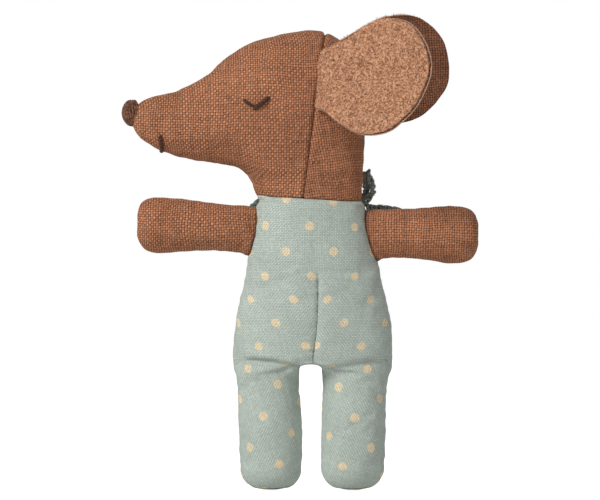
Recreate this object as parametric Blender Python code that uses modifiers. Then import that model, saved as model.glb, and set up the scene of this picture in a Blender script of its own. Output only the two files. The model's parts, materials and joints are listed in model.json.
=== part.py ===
"""A sewn and stuffed cloth mouse, with its head in profile over a body that faces the front.

Metres, +Z up. The belly faces -Y, the snout points to -X and the mouse's own left side is +X.
The origin is on the floor, at the middle of the bounding box.

Every stuffed part is lofted from ribs. A rib runs from a seam point (top_x, top_z) to the opposite
seam point (low_x, low_z), and half_depth is how far the stuffing bulges to either side of it along Y.
Rib tables, outlines and paths are written in millimetres from the body's own axis.
"""

import math

import bmesh
import bpy
from mathutils import Matrix, Vector
from mathutils.bvhtree import BVHTree

MM = 0.001

# Cloth and thread
CLOTH = 0.45 * MM
SEAM_GAP = 0.16 * MM  # each panel stops this far from the middle of its seam
ARM_SEAM_GAP = 0.28 * MM
FILLING_INSET = 0.85 * MM  # the cloth and a little air, between a part's outside and its filling
YARN_RADIUS = 0.36 * MM
THREAD_RADIUS = 0.18 * MM
CORD_RADIUS = 0.70 * MM
THREAD_LIFT = 0.15 * MM  # air between a thread and the cloth under it

# The body's axis stands off the middle of the bounding box, because of the snout and the front ear
BODY_X = 2.25 * MM
BODY_Y = 3.20 * MM

# Hinge heights, and the round ends that turn in them
NECK_Z = 60.0
NECK_RADIUS = 6.0
NECKLINE_Z = 58.7
HIP_Z = 20.6
HIP_RADIUS = 5.3
LEG_CLOTH_Z = 24.6  # each leg's cloth ends here, at the crease under the torso
TORSO_BOTTOM_Z = 26.3
NECK_CLOTH_Z = 57.0  # the head's cloth ends here, inside the torso's open top
FLOOR_CUT = 68.0  # degrees of the foot's dome, where the flat sole cuts it off

ROUND_SIDES = 24
LIMB_SIDES = 16

# Ribs: top_x, top_z, low_x, low_z, half_depth
HEAD_RIBS = [
    (-35.6, 76.6, -36.1, 73.8, 1.9),
    (-32.4, 78.5, -34.2, 70.6, 3.3),
    (-26.8, 80.2, -29.4, 67.7, 4.7),
    (-21.2, 83.3, -23.2, 66.1, 6.2),
    (-16.8, 86.9, -18.2, 65.4, 7.4),
    (-9.8, 90.5, -14.6, 64.4, 8.7),
    (1.0, 91.9, -12.6, 62.7, 9.2),
    (7.8, 88.2, -12.1, 61.9, 8.9),
    (11.0, 79.6, -11.8, 61.4, 8.2),
    (10.7, 69.6, -11.5, 60.9, 7.2),
    (10.2, 60.6, -11.2, 60.4, 6.2),
]
TORSO_RIBS = [
    (10.2, NECKLINE_Z, -10.8, NECKLINE_Z, 6.85),
    (11.4, 52.0, -11.8, 52.0, 7.2),
    (13.4, 43.0, -13.3, 43.0, 7.4),
    (15.4, 33.5, -15.2, 33.5, 7.7),
    (15.7, TORSO_BOTTOM_Z, -15.8, TORSO_BOTTOM_Z, 6.9),
]
LEFT_LEG_RIBS = [
    (15.3, HIP_Z, 2.3, HIP_Z, HIP_RADIUS),
    (14.7, 15.5, 2.2, 15.5, 5.4),
    (14.5, 9.5, 1.8, 9.5, 5.5),
    (14.3, 5.4, 1.8, 5.4, 5.3),
]
RIGHT_LEG_RIBS = [
    (-2.9, HIP_Z, -15.6, HIP_Z, HIP_RADIUS),
    (-2.6, 15.5, -14.8, 15.5, 5.4),
    (-2.0, 9.5, -14.5, 9.5, 5.5),
    (-2.2, 5.4, -14.2, 5.4, 5.3),
]
FOOT_REACH = 5.4 / math.sin(math.radians(FLOOR_CUT))
LEFT_ARM_RIBS = [
    (12.5, 56.3, 14.7, 46.4, 1.5),
    (14.6, 56.4, 16.6, 46.6, 3.0),
    (19.0, 56.4, 20.0, 46.8, 4.2),
    (27.0, 56.8, 27.0, 45.6, 4.4),
]
RIGHT_ARM_RIBS = [
    (-14.5, 47.4, -12.8, 56.6, 1.5),
    (-16.7, 48.0, -15.2, 57.0, 3.0),
    (-20.5, 48.1, -20.0, 57.4, 4.2),
    (-28.3, 47.8, -28.3, 58.3, 4.4),
]
ARM_ROOT_RADIUS = 1.5
HAND_REACH = 6.5

# The ear's base is caught in the seam between face and nape, on each side of the head
EAR_BASE_TOP = (1.9, 88.0)
EAR_BASE_LOW = (0.6, 76.5)
EAR_LENGTH = 26.2
EAR_HALF_WIDTH = 11.5
EAR_OFF_HEAD = 1.9
EAR_LAYER_GAP = 0.25
FRONT_EAR_SPLAY = 31.0  # degrees that the ear stands away from the profile plane
REAR_EAR_SPLAY = 13.0
FRONT_EAR_RAISE = -1.5  # degrees that the ear turns up in its own plane
REAR_EAR_RAISE = 9.0

EYE_STITCH = [(-13.7, 77.9), (-12.6, 76.9), (-11.5, 76.2), (-10.1, 77.3), (-8.6, 78.6)]
MOUTH_X = -30.3
MOUTH_TOP_Z = 71.2
DART_TOP = (1.2, 43.7)
DART_LOW = (0.2, TORSO_BOTTOM_Z + 0.6)
CLOSING_TOP_Z = 49.0
CLOSING_LOW_Z = 39.0

TAIL_LOWER_PATH = [
    (0.0, 8.7, 33.5),
    (1.8, 9.0, 38.5),
    (0.6, 9.0, 45.0),
    (-5.0, 8.7, 51.0),
    (-11.2, 6.9, 55.6),
    (-13.9, 6.0, 58.0),
    (-10.6, 6.9, 59.9),
    (-4.0, 8.4, 60.2),
]
TAIL_UPPER_PATH = [
    (-3.6, 8.5, 60.2),
    (4.0, 8.6, 60.0),
    (9.3, 7.9, 60.4),
    (11.0, 7.2, 62.4),
    (11.3, 6.4, 64.4),
    (12.6, 5.8, 63.2),
    (13.3, 5.5, 61.0),
    (11.8, 5.6, 59.2),
    (12.4, 5.7, 57.6),
    (15.4, 5.6, 57.4),
    (18.2, 5.5, 57.0),
]


# ---------------------------------------------------------------- scene and materials


def clear_scene():
    for obj in list(bpy.data.objects):
        bpy.data.objects.remove(obj, do_unlink=True)


def make_collection(name, hidden=False):
    made = bpy.data.collections.new(name)
    made.hide_render = hidden
    bpy.context.scene.collection.children.link(made)
    return made


def make_material(name, colour, roughness):
    made = bpy.data.materials.new(name)
    made.use_nodes = True
    shader = made.node_tree.nodes["Principled BSDF"]
    shader.inputs["Base Color"].default_value = (*colour, 1.0)
    shader.inputs["Roughness"].default_value = roughness
    shader.inputs["Metallic"].default_value = 0.0
    return made


def add_object(name, data, material):
    """Links a mesh or curve to the toy, under the empty that stands at the body's axis."""
    obj = bpy.data.objects.new(name, data)
    TOY.objects.link(obj)
    obj.parent = BODY_AXIS
    obj.data.materials.append(material)
    return obj


# ---------------------------------------------------------------- ribs


def smooth_rows(rows, per_span):
    """Catmull-Rom through rows of numbers, with per_span rows for each span of the table."""
    made = []
    last = len(rows) - 1
    for i in range(last):
        before, start = rows[max(i - 1, 0)], rows[i]
        end, after = rows[i + 1], rows[min(i + 2, last)]
        for step in range(per_span):
            t = step / per_span
            made.append(
                tuple(
                    0.5 * (2 * b + (c - a) * t + (2 * a - 5 * b + 4 * c - d) * t**2
                           + (3 * b - a - 3 * c + d) * t**3)
                    for a, b, c, d in zip(before, start, end, after)
                )
            )
    made.append(tuple(rows[-1]))
    return made


def dome(rib, reach, stop_deg, steps, toward):
    """Ribs that round off an end over a quarter ellipse, as far as stop_deg of it.

    toward is the direction (x, z) in which the dome grows from the rib.
    """
    top_x, top_z, low_x, low_z, depth = rib
    centre = Vector(((top_x + low_x) / 2, (top_z + low_z) / 2))
    half = Vector(((top_x - low_x) / 2, (top_z - low_z) / 2))
    ribs = []
    for step in range(1, steps + 1):
        angle = math.radians(stop_deg * step / steps)
        middle = centre + Vector(toward) * reach * math.sin(angle)
        arm = half * math.cos(angle)
        ribs.append((*(middle + arm), *(middle - arm), depth * math.cos(angle)))
    return ribs


def barrel(top_x, low_x, axis_z, radius, up, steps):
    """Ribs of a half cylinder about an axis along X: the round end that turns in a hinge."""
    ribs = []
    for step in range(1, steps + 1):
        angle = math.radians(84.0 * step / steps)
        z = axis_z + up * radius * math.sin(angle)
        ribs.append((top_x, z, low_x, z, radius * math.cos(angle)))
    return ribs


def loft(ribs, sides, closed=True):
    """A tube with one elliptical section for each rib, closed at both ends by flat caps."""
    bm = bmesh.new()
    rings = []
    for top_x, top_z, low_x, low_z, depth in ribs:
        centre = Vector(((top_x + low_x) / 2, 0, (top_z + low_z) / 2))
        half = Vector(((top_x - low_x) / 2, 0, (top_z - low_z) / 2))
        ring = []
        for side in range(sides):
            angle = 2 * math.pi * side / sides
            point = centre + half * math.cos(angle) + Vector((0, depth * math.sin(angle), 0))
            ring.append(bm.verts.new(point * MM))
        rings.append(ring)
    for ring, following in zip(rings, rings[1:]):
        for side in range(sides):
            after = (side + 1) % sides
            bm.faces.new((ring[side], ring[after], following[after], following[side]))
    if closed:
        bm.faces.new(reversed(rings[0]))
        bm.faces.new(rings[-1])
    bmesh.ops.recalc_face_normals(bm, faces=bm.faces)
    if bm.calc_volume(signed=True) < 0 or not closed:
        point_outwards(bm)
    return bm


def point_outwards(bm):
    """Turns the faces round if they look at the tube's own middle."""
    middle = sum((v.co for v in bm.verts), Vector()) / len(bm.verts)
    inward = sum(1 if f.normal.dot(f.calc_center_median() - middle) < 0 else -1 for f in bm.faces)
    if inward > 0:
        bmesh.ops.reverse_faces(bm, faces=bm.faces)


def moved_along_normals(form, distance):
    grown = form.copy()
    grown.normal_update()
    for vert, normal in [(v, v.normal.copy()) for v in grown.verts]:
        vert.co += normal * distance
    return grown


# ---------------------------------------------------------------- cloth panels and fillings


def mesh_from(name, bm):
    mesh = bpy.data.meshes.new(name)
    bm.to_mesh(mesh)
    mesh.shade_smooth()
    mesh.set_sharp_from_angle(angle=math.radians(50))
    return mesh


def add_panel(name, form, material, cuts):
    """One cloth panel: the part of a form's surface inside all the cuts, thickened inwards.

    Each cut is a point and the direction to keep.
    """
    bm = form.copy()
    for point, keep in cuts:
        bmesh.ops.bisect_plane(
            bm,
            geom=bm.verts[:] + bm.edges[:] + bm.faces[:],
            plane_co=point,
            plane_no=keep,
            clear_inner=True,
        )
    bmesh.ops.dissolve_degenerate(bm, dist=1e-6, edges=bm.edges)
    obj = add_object(name, mesh_from(name, bm), material)
    cloth = obj.modifiers.new("cloth", "SOLIDIFY")
    cloth.thickness = CLOTH
    cloth.offset = -1
    cloth.use_even_offset = True
    return obj


def front_half(gap=SEAM_GAP):
    return (Vector((0, -gap, 0)), Vector((0, -1, 0)))


def rear_half(gap=SEAM_GAP):
    return (Vector((0, gap, 0)), Vector((0, 1, 0)))


def add_filling(name, form, inset=FILLING_INSET):
    return add_object(name, mesh_from(name, moved_along_normals(form, -inset)), STUFFING)


def add_two_panels(name, form, material, gap, more_cuts=()):
    add_panel(f"{name}_front_panel", form, material, [front_half(gap), *more_cuts])
    add_panel(f"{name}_back_panel", form, material, [rear_half(gap), *more_cuts])
    add_filling(f"{name}_stuffing", form)


# ---------------------------------------------------------------- threads and cords


def add_thread(name, points, radius, material, taper=1.0):
    """A round thread through the points, in metres; taper is the share of its radius at both ends."""
    curve = bpy.data.curves.new(name, "CURVE")
    curve.dimensions = "3D"
    curve.bevel_depth = radius
    curve.bevel_resolution = 2
    curve.use_fill_caps = True
    spline = curve.splines.new("POLY")
    spline.points.add(len(points) - 1)
    for i, point in enumerate(points):
        spline.points[i].co = (*point, 1)
        spline.points[i].radius = taper if i in (0, len(points) - 1) else 1.0
    return add_object(name, curve, material)


def on_cloth(tree, x, z, side, lift):
    """The point over (x, z), in millimetres, that stands lift off the cloth; side -1 is the front."""
    origin = Vector((x * MM, side * 0.05, z * MM))
    hit, normal, _, _ = tree.ray_cast(origin, Vector((0, -side, 0)))
    return hit + normal * lift


def over_surface(tree, path, side, radius):
    return [on_cloth(tree, x, z, side, radius + THREAD_LIFT) for x, z in smooth_rows(path, 3)]


# ---------------------------------------------------------------- the parts


def head_form():
    ribs = smooth_rows(HEAD_RIBS, 2)
    ribs = dome(ribs[0], 0.9, 75, 2, (-1, 0))[::-1] + ribs
    plug_top, plug_low = 9.3, -9.9
    ribs.append((plug_top, NECK_Z + 0.15, plug_low, NECK_Z + 0.15, NECK_RADIUS))
    return loft(ribs + barrel(plug_top, plug_low, NECK_Z, NECK_RADIUS, -1, 5), ROUND_SIDES)


def make_head():
    form = head_form()
    tree = BVHTree.FromBMesh(form)
    seam_top, seam_low = Vector((2.2 * MM, 0, 92 * MM)), Vector((-1.8 * MM, 0, 58.5 * MM))
    to_nape = Vector((seam_top.z - seam_low.z, 0, seam_low.x - seam_top.x)).normalized()
    face_cut = (seam_top - to_nape * SEAM_GAP, -to_nape)
    nape_cut = (seam_top + to_nape * SEAM_GAP, to_nape)
    neck_end = (Vector((0, 0, NECK_CLOTH_Z * MM)), Vector((0, 0, 1)))
    add_panel("face_front_panel", form, LINEN, [front_half(), face_cut, neck_end])
    add_panel("face_rear_panel", form, LINEN, [rear_half(), face_cut, neck_end])
    add_panel("nape_front_panel", form, LINEN, [front_half(), nape_cut, neck_end])
    add_panel("nape_rear_panel", form, LINEN, [rear_half(), nape_cut, neck_end])
    add_filling("head_stuffing", form)
    for side, where in ((-1, "front"), (1, "rear")):
        points = over_surface(tree, EYE_STITCH, side, YARN_RADIUS)
        add_thread(f"eye_{where}_stitches", points, YARN_RADIUS, BROWN_YARN, 0.6)
    add_mouth(tree)
    add_nose(form)
    return tree


def add_mouth(tree):
    """One stitch that hangs under the chin, with its ends on either cheek."""
    lift = YARN_RADIUS + THREAD_LIFT
    cheek = [on_cloth(tree, MOUTH_X, z, -1, lift) for z in (MOUTH_TOP_Z, 70.0, 69.0)]
    under, normal, _, _ = tree.ray_cast(Vector((MOUTH_X * MM, 0, 0)), Vector((0, 0, 1)))
    far_cheek = [Vector((p.x, -p.y, p.z)) for p in reversed(cheek)]
    points = cheek + [under + normal * lift] + far_cheek
    add_thread("mouth_stitch", points, YARN_RADIUS, BROWN_YARN, 0.6)


def add_nose(form):
    """A pad of satin stitches over the tip of the snout, hollow where the cloth fits into it."""
    bm = bmesh.new()
    bmesh.ops.create_uvsphere(bm, u_segments=16, v_segments=10, radius=1)
    place = Matrix.Translation(Vector((-36.1, 0, 75.6)) * MM)
    bmesh.ops.transform(bm, matrix=place @ Matrix.Diagonal((2.0 * MM, 2.3 * MM, 2.5 * MM, 1)), verts=bm.verts)
    nose = add_object("nose_stitches", mesh_from("nose_stitches", bm), BROWN_YARN)
    cutter = bpy.data.objects.new("nose_cutter", mesh_from("nose_cutter", moved_along_normals(form, 0.25 * MM)))
    CUTTERS.objects.link(cutter)
    cutter.parent = BODY_AXIS
    cutter.hide_render = True
    cutter.display_type = "WIRE"
    hollow = nose.modifiers.new("hollow", "BOOLEAN")
    hollow.operation = "DIFFERENCE"
    hollow.object = cutter


def ear_outline(curve):
    """A closed Bezier: a straight base at the head, widening to a round end."""
    base = (Vector(EAR_BASE_TOP) - Vector(EAR_BASE_LOW)).length / 2 * MM
    length, width = EAR_LENGTH * MM, EAR_HALF_WIDTH * MM
    middle = length * 0.58
    knots = [
        ((0, base), (0, 0), (length * 0.17, width * 0.12)),
        ((middle, width), (-length * 0.24, 0), (length * 0.235, 0)),
        ((length, 0), (0, width * 0.56), (0, -width * 0.56)),
        ((middle, -width), (length * 0.235, 0), (-length * 0.24, 0)),
        ((0, -base), (length * 0.17, -width * 0.12), (0, 0)),
    ]
    spline = curve.splines.new("BEZIER")
    spline.bezier_points.add(len(knots) - 1)
    for knot, (place, before, after) in zip(spline.bezier_points, knots):
        knot.handle_left_type = knot.handle_right_type = "FREE"
        knot.co = (*place, 0)
        knot.handle_left = (place[0] + before[0], place[1] + before[1], 0)
        knot.handle_right = (place[0] + after[0], place[1] + after[1], 0)
    spline.use_cyclic_u = True


def add_ear_layer(name, material, frame, offset, thickness):
    curve = bpy.data.curves.new(name, "CURVE")
    curve.dimensions = "2D"
    curve.fill_mode = "BOTH"
    curve.resolution_u = 7
    curve.extrude = thickness / 2
    ear_outline(curve)
    obj = add_object(name, curve, material)
    obj.matrix_local = frame @ Matrix.Translation((0, 0, offset))


def ear_frame(tree, side, splay_deg, raise_deg):
    """Axes of one ear: X from base to tip, Y up along the base, Z out of the ear away from the head."""
    top = on_cloth(tree, *EAR_BASE_TOP, side, EAR_OFF_HEAD * MM)
    low = on_cloth(tree, *EAR_BASE_LOW, side, EAR_OFF_HEAD * MM)
    up = (top - low).normalized()
    splay = math.radians(splay_deg)
    out = Vector((math.cos(splay), side * math.sin(splay), 0))
    out = (out - up * out.dot(up)).normalized()
    raised = Matrix.Rotation(math.radians(-raise_deg), 3, "Y")
    along, up = raised @ out, raised @ up
    frame = Matrix((along, up, along.cross(up))).transposed().to_4x4()
    frame.translation = (top + low) / 2
    return frame


def make_ear(name, tree, side, splay_deg, raise_deg):
    frame = ear_frame(tree, side, splay_deg, raise_deg)
    outward = 1 if frame.col[2].y * side > 0 else -1
    fleece, linen = 0.65 * MM, 0.45 * MM
    gap = EAR_LAYER_GAP * MM
    add_ear_layer(f"{name}_ear_lining", FLEECE, frame, outward * (gap + fleece) / 2, fleece)
    add_ear_layer(f"{name}_ear_backing", LINEN, frame, -outward * (gap + linen) / 2, linen)


def make_torso():
    ribs = smooth_rows(TORSO_RIBS, 3)
    skin = loft(ribs, ROUND_SIDES, closed=False)
    left = (Vector((SEAM_GAP, 0, 0)), Vector((1, 0, 0)))
    right = (Vector((-SEAM_GAP, 0, 0)), Vector((-1, 0, 0)))
    add_panel("torso_front_panel", skin, MINT_COTTON, [front_half()])
    add_panel("torso_back_left_panel", skin, MINT_COTTON, [rear_half(), left])
    add_panel("torso_back_right_panel", skin, MINT_COTTON, [rear_half(), right])
    top = NECK_Z - NECK_RADIUS - 0.5
    filled = [rib for rib in ribs if rib[1] < top]
    share = (top - filled[0][1]) / (ribs[len(ribs) - len(filled) - 1][1] - filled[0][1])
    above = ribs[len(ribs) - len(filled) - 1]
    cut = tuple(a + (b - a) * share for a, b in zip(filled[0], above))
    add_filling("torso_stuffing", loft([cut] + filled, ROUND_SIDES))
    tree = BVHTree.FromBMesh(skin)
    dart = over_surface(tree, [DART_TOP, DART_LOW], -1, THREAD_RADIUS)
    add_thread("belly_dart_thread", dart, THREAD_RADIUS, MINT_THREAD)
    closing = over_surface(tree, [(0, CLOSING_TOP_Z), (0, CLOSING_LOW_Z)], 1, THREAD_RADIUS)
    add_thread("back_closing_thread", closing, THREAD_RADIUS, MINT_THREAD)


def make_leg(name, ribs):
    top_x, _, low_x, _, _ = ribs[0]
    hip = barrel(top_x, low_x, HIP_Z, HIP_RADIUS, 1, 5)[::-1]
    foot = dome(ribs[-1], FOOT_REACH, FLOOR_CUT, 5, (0, -1))
    form = loft(hip + smooth_rows(ribs, 2) + foot, LIMB_SIDES)
    below_crease = (Vector((0, 0, LEG_CLOTH_Z * MM)), Vector((0, 0, -1)))
    add_two_panels(name, form, MINT_COTTON, SEAM_GAP, [below_crease])


def make_arm(name, ribs, toward):
    root = dome(ribs[0], ARM_ROOT_RADIUS, 70, 3, (-toward, 0))[::-1]
    hand = dome(ribs[-1], HAND_REACH, 86, 6, (toward, 0))
    form = loft(root + smooth_rows(ribs, 3) + hand, LIMB_SIDES)
    add_two_panels(name, form, LINEN, ARM_SEAM_GAP)


def make_tail():
    for name, path in (("tail_lower_cord", TAIL_LOWER_PATH), ("tail_upper_cord", TAIL_UPPER_PATH)):
        points = [Vector(row) * MM for row in smooth_rows(path, 4)]
        add_thread(name, points, CORD_RADIUS, GREY_CORD, 0.5)


clear_scene()
TOY = make_collection("cloth_mouse")
CUTTERS = make_collection("cutters", hidden=True)
BODY_AXIS = bpy.data.objects.new("body_axis", None)
TOY.objects.link(BODY_AXIS)
BODY_AXIS.location = (BODY_X, BODY_Y, 0)

LINEN = make_material("brown_linen", (0.34, 0.15, 0.085), 0.9)
MINT_COTTON = make_material("mint_cotton", (0.47, 0.52, 0.45), 0.85)
FLEECE = make_material("tan_fleece", (0.45, 0.22, 0.13), 1.0)
BROWN_YARN = make_material("brown_yarn", (0.12, 0.055, 0.03), 0.8)
GREY_CORD = make_material("grey_green_cord", (0.05, 0.06, 0.055), 0.85)
MINT_THREAD = make_material("mint_thread", (0.30, 0.34, 0.29), 0.8)
STUFFING = make_material("white_stuffing", (0.85, 0.84, 0.80), 1.0)

make_torso()
head_surface = make_head()
make_ear("front", head_surface, -1, FRONT_EAR_SPLAY, FRONT_EAR_RAISE)
make_ear("rear", head_surface, 1, REAR_EAR_SPLAY, REAR_EAR_RAISE)
make_arm("left_arm", LEFT_ARM_RIBS, 1)
make_arm("right_arm", RIGHT_ARM_RIBS, -1)
make_leg("left_leg", LEFT_LEG_RIBS)
make_leg("right_leg", RIGHT_LEG_RIBS)
make_tail()
bpy.context.view_layer.update()
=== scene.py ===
"""Looks for the stuffed cloth mouse: linen, dotted cotton, fleece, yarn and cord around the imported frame.

Shapes are written in millimetres from the mouse's own axis: x to its left, y to its back, z up.
place() turns them into the row frame, whose axis position is read from the neck hinge.
"""

import json
import math
import random

import bmesh
import bpy
import numpy as np
from mathutils import Matrix, Vector, noise
from mathutils.bvhtree import BVHTree


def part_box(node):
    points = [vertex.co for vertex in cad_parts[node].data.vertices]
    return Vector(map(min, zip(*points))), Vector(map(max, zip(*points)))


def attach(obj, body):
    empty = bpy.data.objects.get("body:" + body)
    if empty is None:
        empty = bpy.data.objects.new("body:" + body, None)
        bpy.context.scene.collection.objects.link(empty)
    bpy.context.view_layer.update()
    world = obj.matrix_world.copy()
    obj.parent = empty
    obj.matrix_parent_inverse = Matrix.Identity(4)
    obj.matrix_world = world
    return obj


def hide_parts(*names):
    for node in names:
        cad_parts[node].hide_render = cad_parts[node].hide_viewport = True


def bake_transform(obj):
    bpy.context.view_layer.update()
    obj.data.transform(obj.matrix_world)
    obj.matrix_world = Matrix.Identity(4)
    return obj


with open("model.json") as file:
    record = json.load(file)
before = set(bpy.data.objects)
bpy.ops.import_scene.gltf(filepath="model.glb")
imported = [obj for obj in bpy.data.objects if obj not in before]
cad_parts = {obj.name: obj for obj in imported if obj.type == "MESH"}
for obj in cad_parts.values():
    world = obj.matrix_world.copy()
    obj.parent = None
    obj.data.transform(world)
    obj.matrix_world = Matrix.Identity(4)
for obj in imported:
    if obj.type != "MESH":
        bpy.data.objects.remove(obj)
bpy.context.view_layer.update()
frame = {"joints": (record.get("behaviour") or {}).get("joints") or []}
JOINTS = {joint["name"]: joint for joint in frame["joints"]}
MM = 0.001
AXIS = Vector(JOINTS["head_nod"]["pos_m"]) / MM
ORIGIN = np.array((AXIS.x, AXIS.y, 0.0))

SIM_SCALE = 20.0  # cloth simulates better when the small mouse is this much larger
SIM_FRAMES = 20
SIM_PRESSURE = 5.0
NOSE_SEED = 7


# ---------------------------------------------------------------- numbers


def place(points):
    """Millimetres from the mouse's axis, as metres in the row frame."""
    return (np.asarray(points, float) + ORIGIN) * MM


def from_axis(points):
    """Metres in the row frame, as millimetres from the mouse's axis."""
    return np.asarray(points, float) / MM - ORIGIN


def smooth_rows(rows, per_span):
    """Catmull-Rom through rows of numbers, with per_span rows for each span."""
    rows = np.asarray(rows, float)
    made = []
    last = len(rows) - 1
    for i in range(last):
        a, b = rows[max(i - 1, 0)], rows[i]
        c, d = rows[i + 1], rows[min(i + 2, last)]
        square, cube = 2 * a - 5 * b + 4 * c - d, 3 * b - a - 3 * c + d
        for t in np.arange(per_span) / per_span:
            made.append(0.5 * (2 * b + (c - a) * t + square * t**2 + cube * t**3))
    made.append(rows[-1])
    return np.array(made)


def even_path(points, step):
    """A path resampled to equal steps, as near step as it divides into."""
    points = np.asarray(points, float)
    lengths = running_length(points)
    count = max(2, int(round(lengths[-1] / step)) + 1)
    at = np.linspace(0, lengths[-1], count)
    return np.column_stack([np.interp(at, lengths, points[:, i]) for i in range(3)])


def smoothstep(low, high, value):
    t = np.clip((value - low) / (high - low), 0, 1)
    return t * t * (3 - 2 * t)


def power_wave(value, exponent):
    return np.sign(value) * np.abs(value) ** exponent


def running_length(path):
    """Length from a path's start to each of its points."""
    return np.r_[0, np.cumsum(np.linalg.norm(np.diff(path, axis=0), axis=1))]


def around(rings):
    """Running length along each ring's columns, with the whole length as one more column."""
    return np.array([running_length(np.concatenate([ring, ring[:1]])) for ring in rings])


def bell(value, width):
    """1 where value is 0, falling to nothing over a few widths."""
    return np.exp(-((value / width) ** 2))


# ---------------------------------------------------------------- meshes


def grid_mesh(name, rings, uv, closed_start=False, closed_end=False):
    """Rings of points joined into a tube; uv[r, c] is the fabric points of both sides of face column c."""
    rows, columns = rings.shape[:2]
    index = np.arange(rows * columns).reshape(rows, columns)
    faces, corners = [], []
    for r in range(rows - 1):
        for c in range(columns):
            d = (c + 1) % columns
            faces.append((index[r, c], index[r, d], index[r + 1, d], index[r + 1, c]))
            corners.append((uv[r, c, 0], uv[r, c, 1], uv[r + 1, c, 1], uv[r + 1, c, 0]))
    if closed_start:
        faces.append(tuple(reversed(index[0])))
        corners.append([uv[0, c, 0] for c in reversed(range(columns))])
    if closed_end:
        faces.append(tuple(index[-1]))
        corners.append([uv[-1, c, 0] for c in range(columns)])
    return mesh_object(name, place(rings.reshape(-1, 3)), faces, corners)


def mesh_object(name, points, faces, corners=None):
    mesh = bpy.data.meshes.new(name)
    mesh.from_pydata([tuple(p) for p in points], [], [tuple(int(i) for i in f) for f in faces])
    if corners:
        layer = mesh.uv_layers.new(name="fabric")
        layer.data.foreach_set("uv", np.array([c for face in corners for c in face], np.float32).ravel())
    obj = bpy.data.objects.new(name, mesh)
    bpy.context.scene.collection.objects.link(obj)
    mesh.shade_smooth()
    return obj


def point_outwards(obj):
    bm = bmesh.new()
    bm.from_mesh(obj.data)
    bmesh.ops.recalc_face_normals(bm, faces=bm.faces)
    bm.to_mesh(obj.data)
    bm.free()


def subdivide(obj, levels=1):
    """Catmull-Clark, applied to the mesh."""
    smoother = obj.modifiers.new("smooth", "SUBSURF")
    smoother.levels = smoother.render_levels = levels
    apply_modifiers(obj)


def apply_modifiers(obj):
    evaluated = obj.evaluated_get(bpy.context.evaluated_depsgraph_get())
    mesh = bpy.data.meshes.new_from_object(evaluated)
    obj.modifiers.clear()
    old, obj.data = obj.data, mesh
    bpy.data.meshes.remove(old)
    mesh.shade_smooth()


def body_points(obj):
    """Vertex places in millimetres from the mouse's axis."""
    co = np.empty(len(obj.data.vertices) * 3)
    obj.data.vertices.foreach_get("co", co)
    return from_axis(co.reshape(-1, 3))


def set_body_points(obj, points):
    obj.data.vertices.foreach_set("co", place(points).ravel())
    obj.data.update()


def vertex_normals(obj):
    normals = np.empty(len(obj.data.vertices) * 3)
    obj.data.vertex_normals.foreach_get("vector", normals)
    return normals.reshape(-1, 3)


def push(obj, amount):
    """Moves every vertex along its normal by its amount, in millimetres."""
    set_body_points(obj, body_points(obj) + vertex_normals(obj) * np.asarray(amount)[:, None])


def lumps(points, size, seed):
    """Smooth noise between -1 and 1 over points, with features of about size."""
    offset = Vector((seed * 17.3, seed * 5.1, seed * 9.7))
    return np.array([noise.noise(Vector(p) / size + offset) for p in points])


def path_distance(points, path):
    """Distance of 2-D points from a 2-D path, and how far along it (0 to 1) the nearest place is."""
    best = np.full(len(points), 1e9)
    along = np.zeros(len(points))
    path = np.asarray(path, float)
    spans = len(path) - 1
    for i in range(spans):
        a, b = path[i], path[i + 1]
        t = np.clip((points - a) @ (b - a) / ((b - a) @ (b - a)), 0, 1)
        d = np.linalg.norm(points - (a + t[:, None] * (b - a)), axis=1)
        nearer = d < best
        best[nearer] = d[nearer]
        along[nearer] = (i + t[nearer]) / spans
    return best, along


def cut_along(obj, point, normal, width):
    """Adds edge loops on a plane and a little to each side of it, so that a seam there can be sharp."""
    bm = bmesh.new()
    bm.from_mesh(obj.data)
    normal = Vector(normal).normalized()
    centre = Vector(place(point))
    for offset in (-width, 0, width):
        bmesh.ops.bisect_plane(
            bm,
            geom=bm.verts[:] + bm.edges[:] + bm.faces[:],
            plane_co=centre + normal * offset * MM,
            plane_no=normal,
            dist=1e-6,
        )
    bm.to_mesh(obj.data)
    bm.free()


# ---------------------------------------------------------------- cloth simulation


def broad_part(obj, values, rounds=40):
    """Values of a mesh's vertices, averaged with their neighbours' again and again."""
    edges = np.empty(len(obj.data.edges) * 2, int)
    obj.data.edges.foreach_get("vertices", edges)
    edges = edges.reshape(-1, 2)
    for _ in range(rounds):
        total = np.zeros_like(values)
        number = np.zeros(len(values))
        for a, b in ((0, 1), (1, 0)):
            np.add.at(total, edges[:, a], values[edges[:, b]])
            np.add.at(number, edges[:, a], 1)
        values = total / np.maximum(number, 1)[:, None]
    return values


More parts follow.
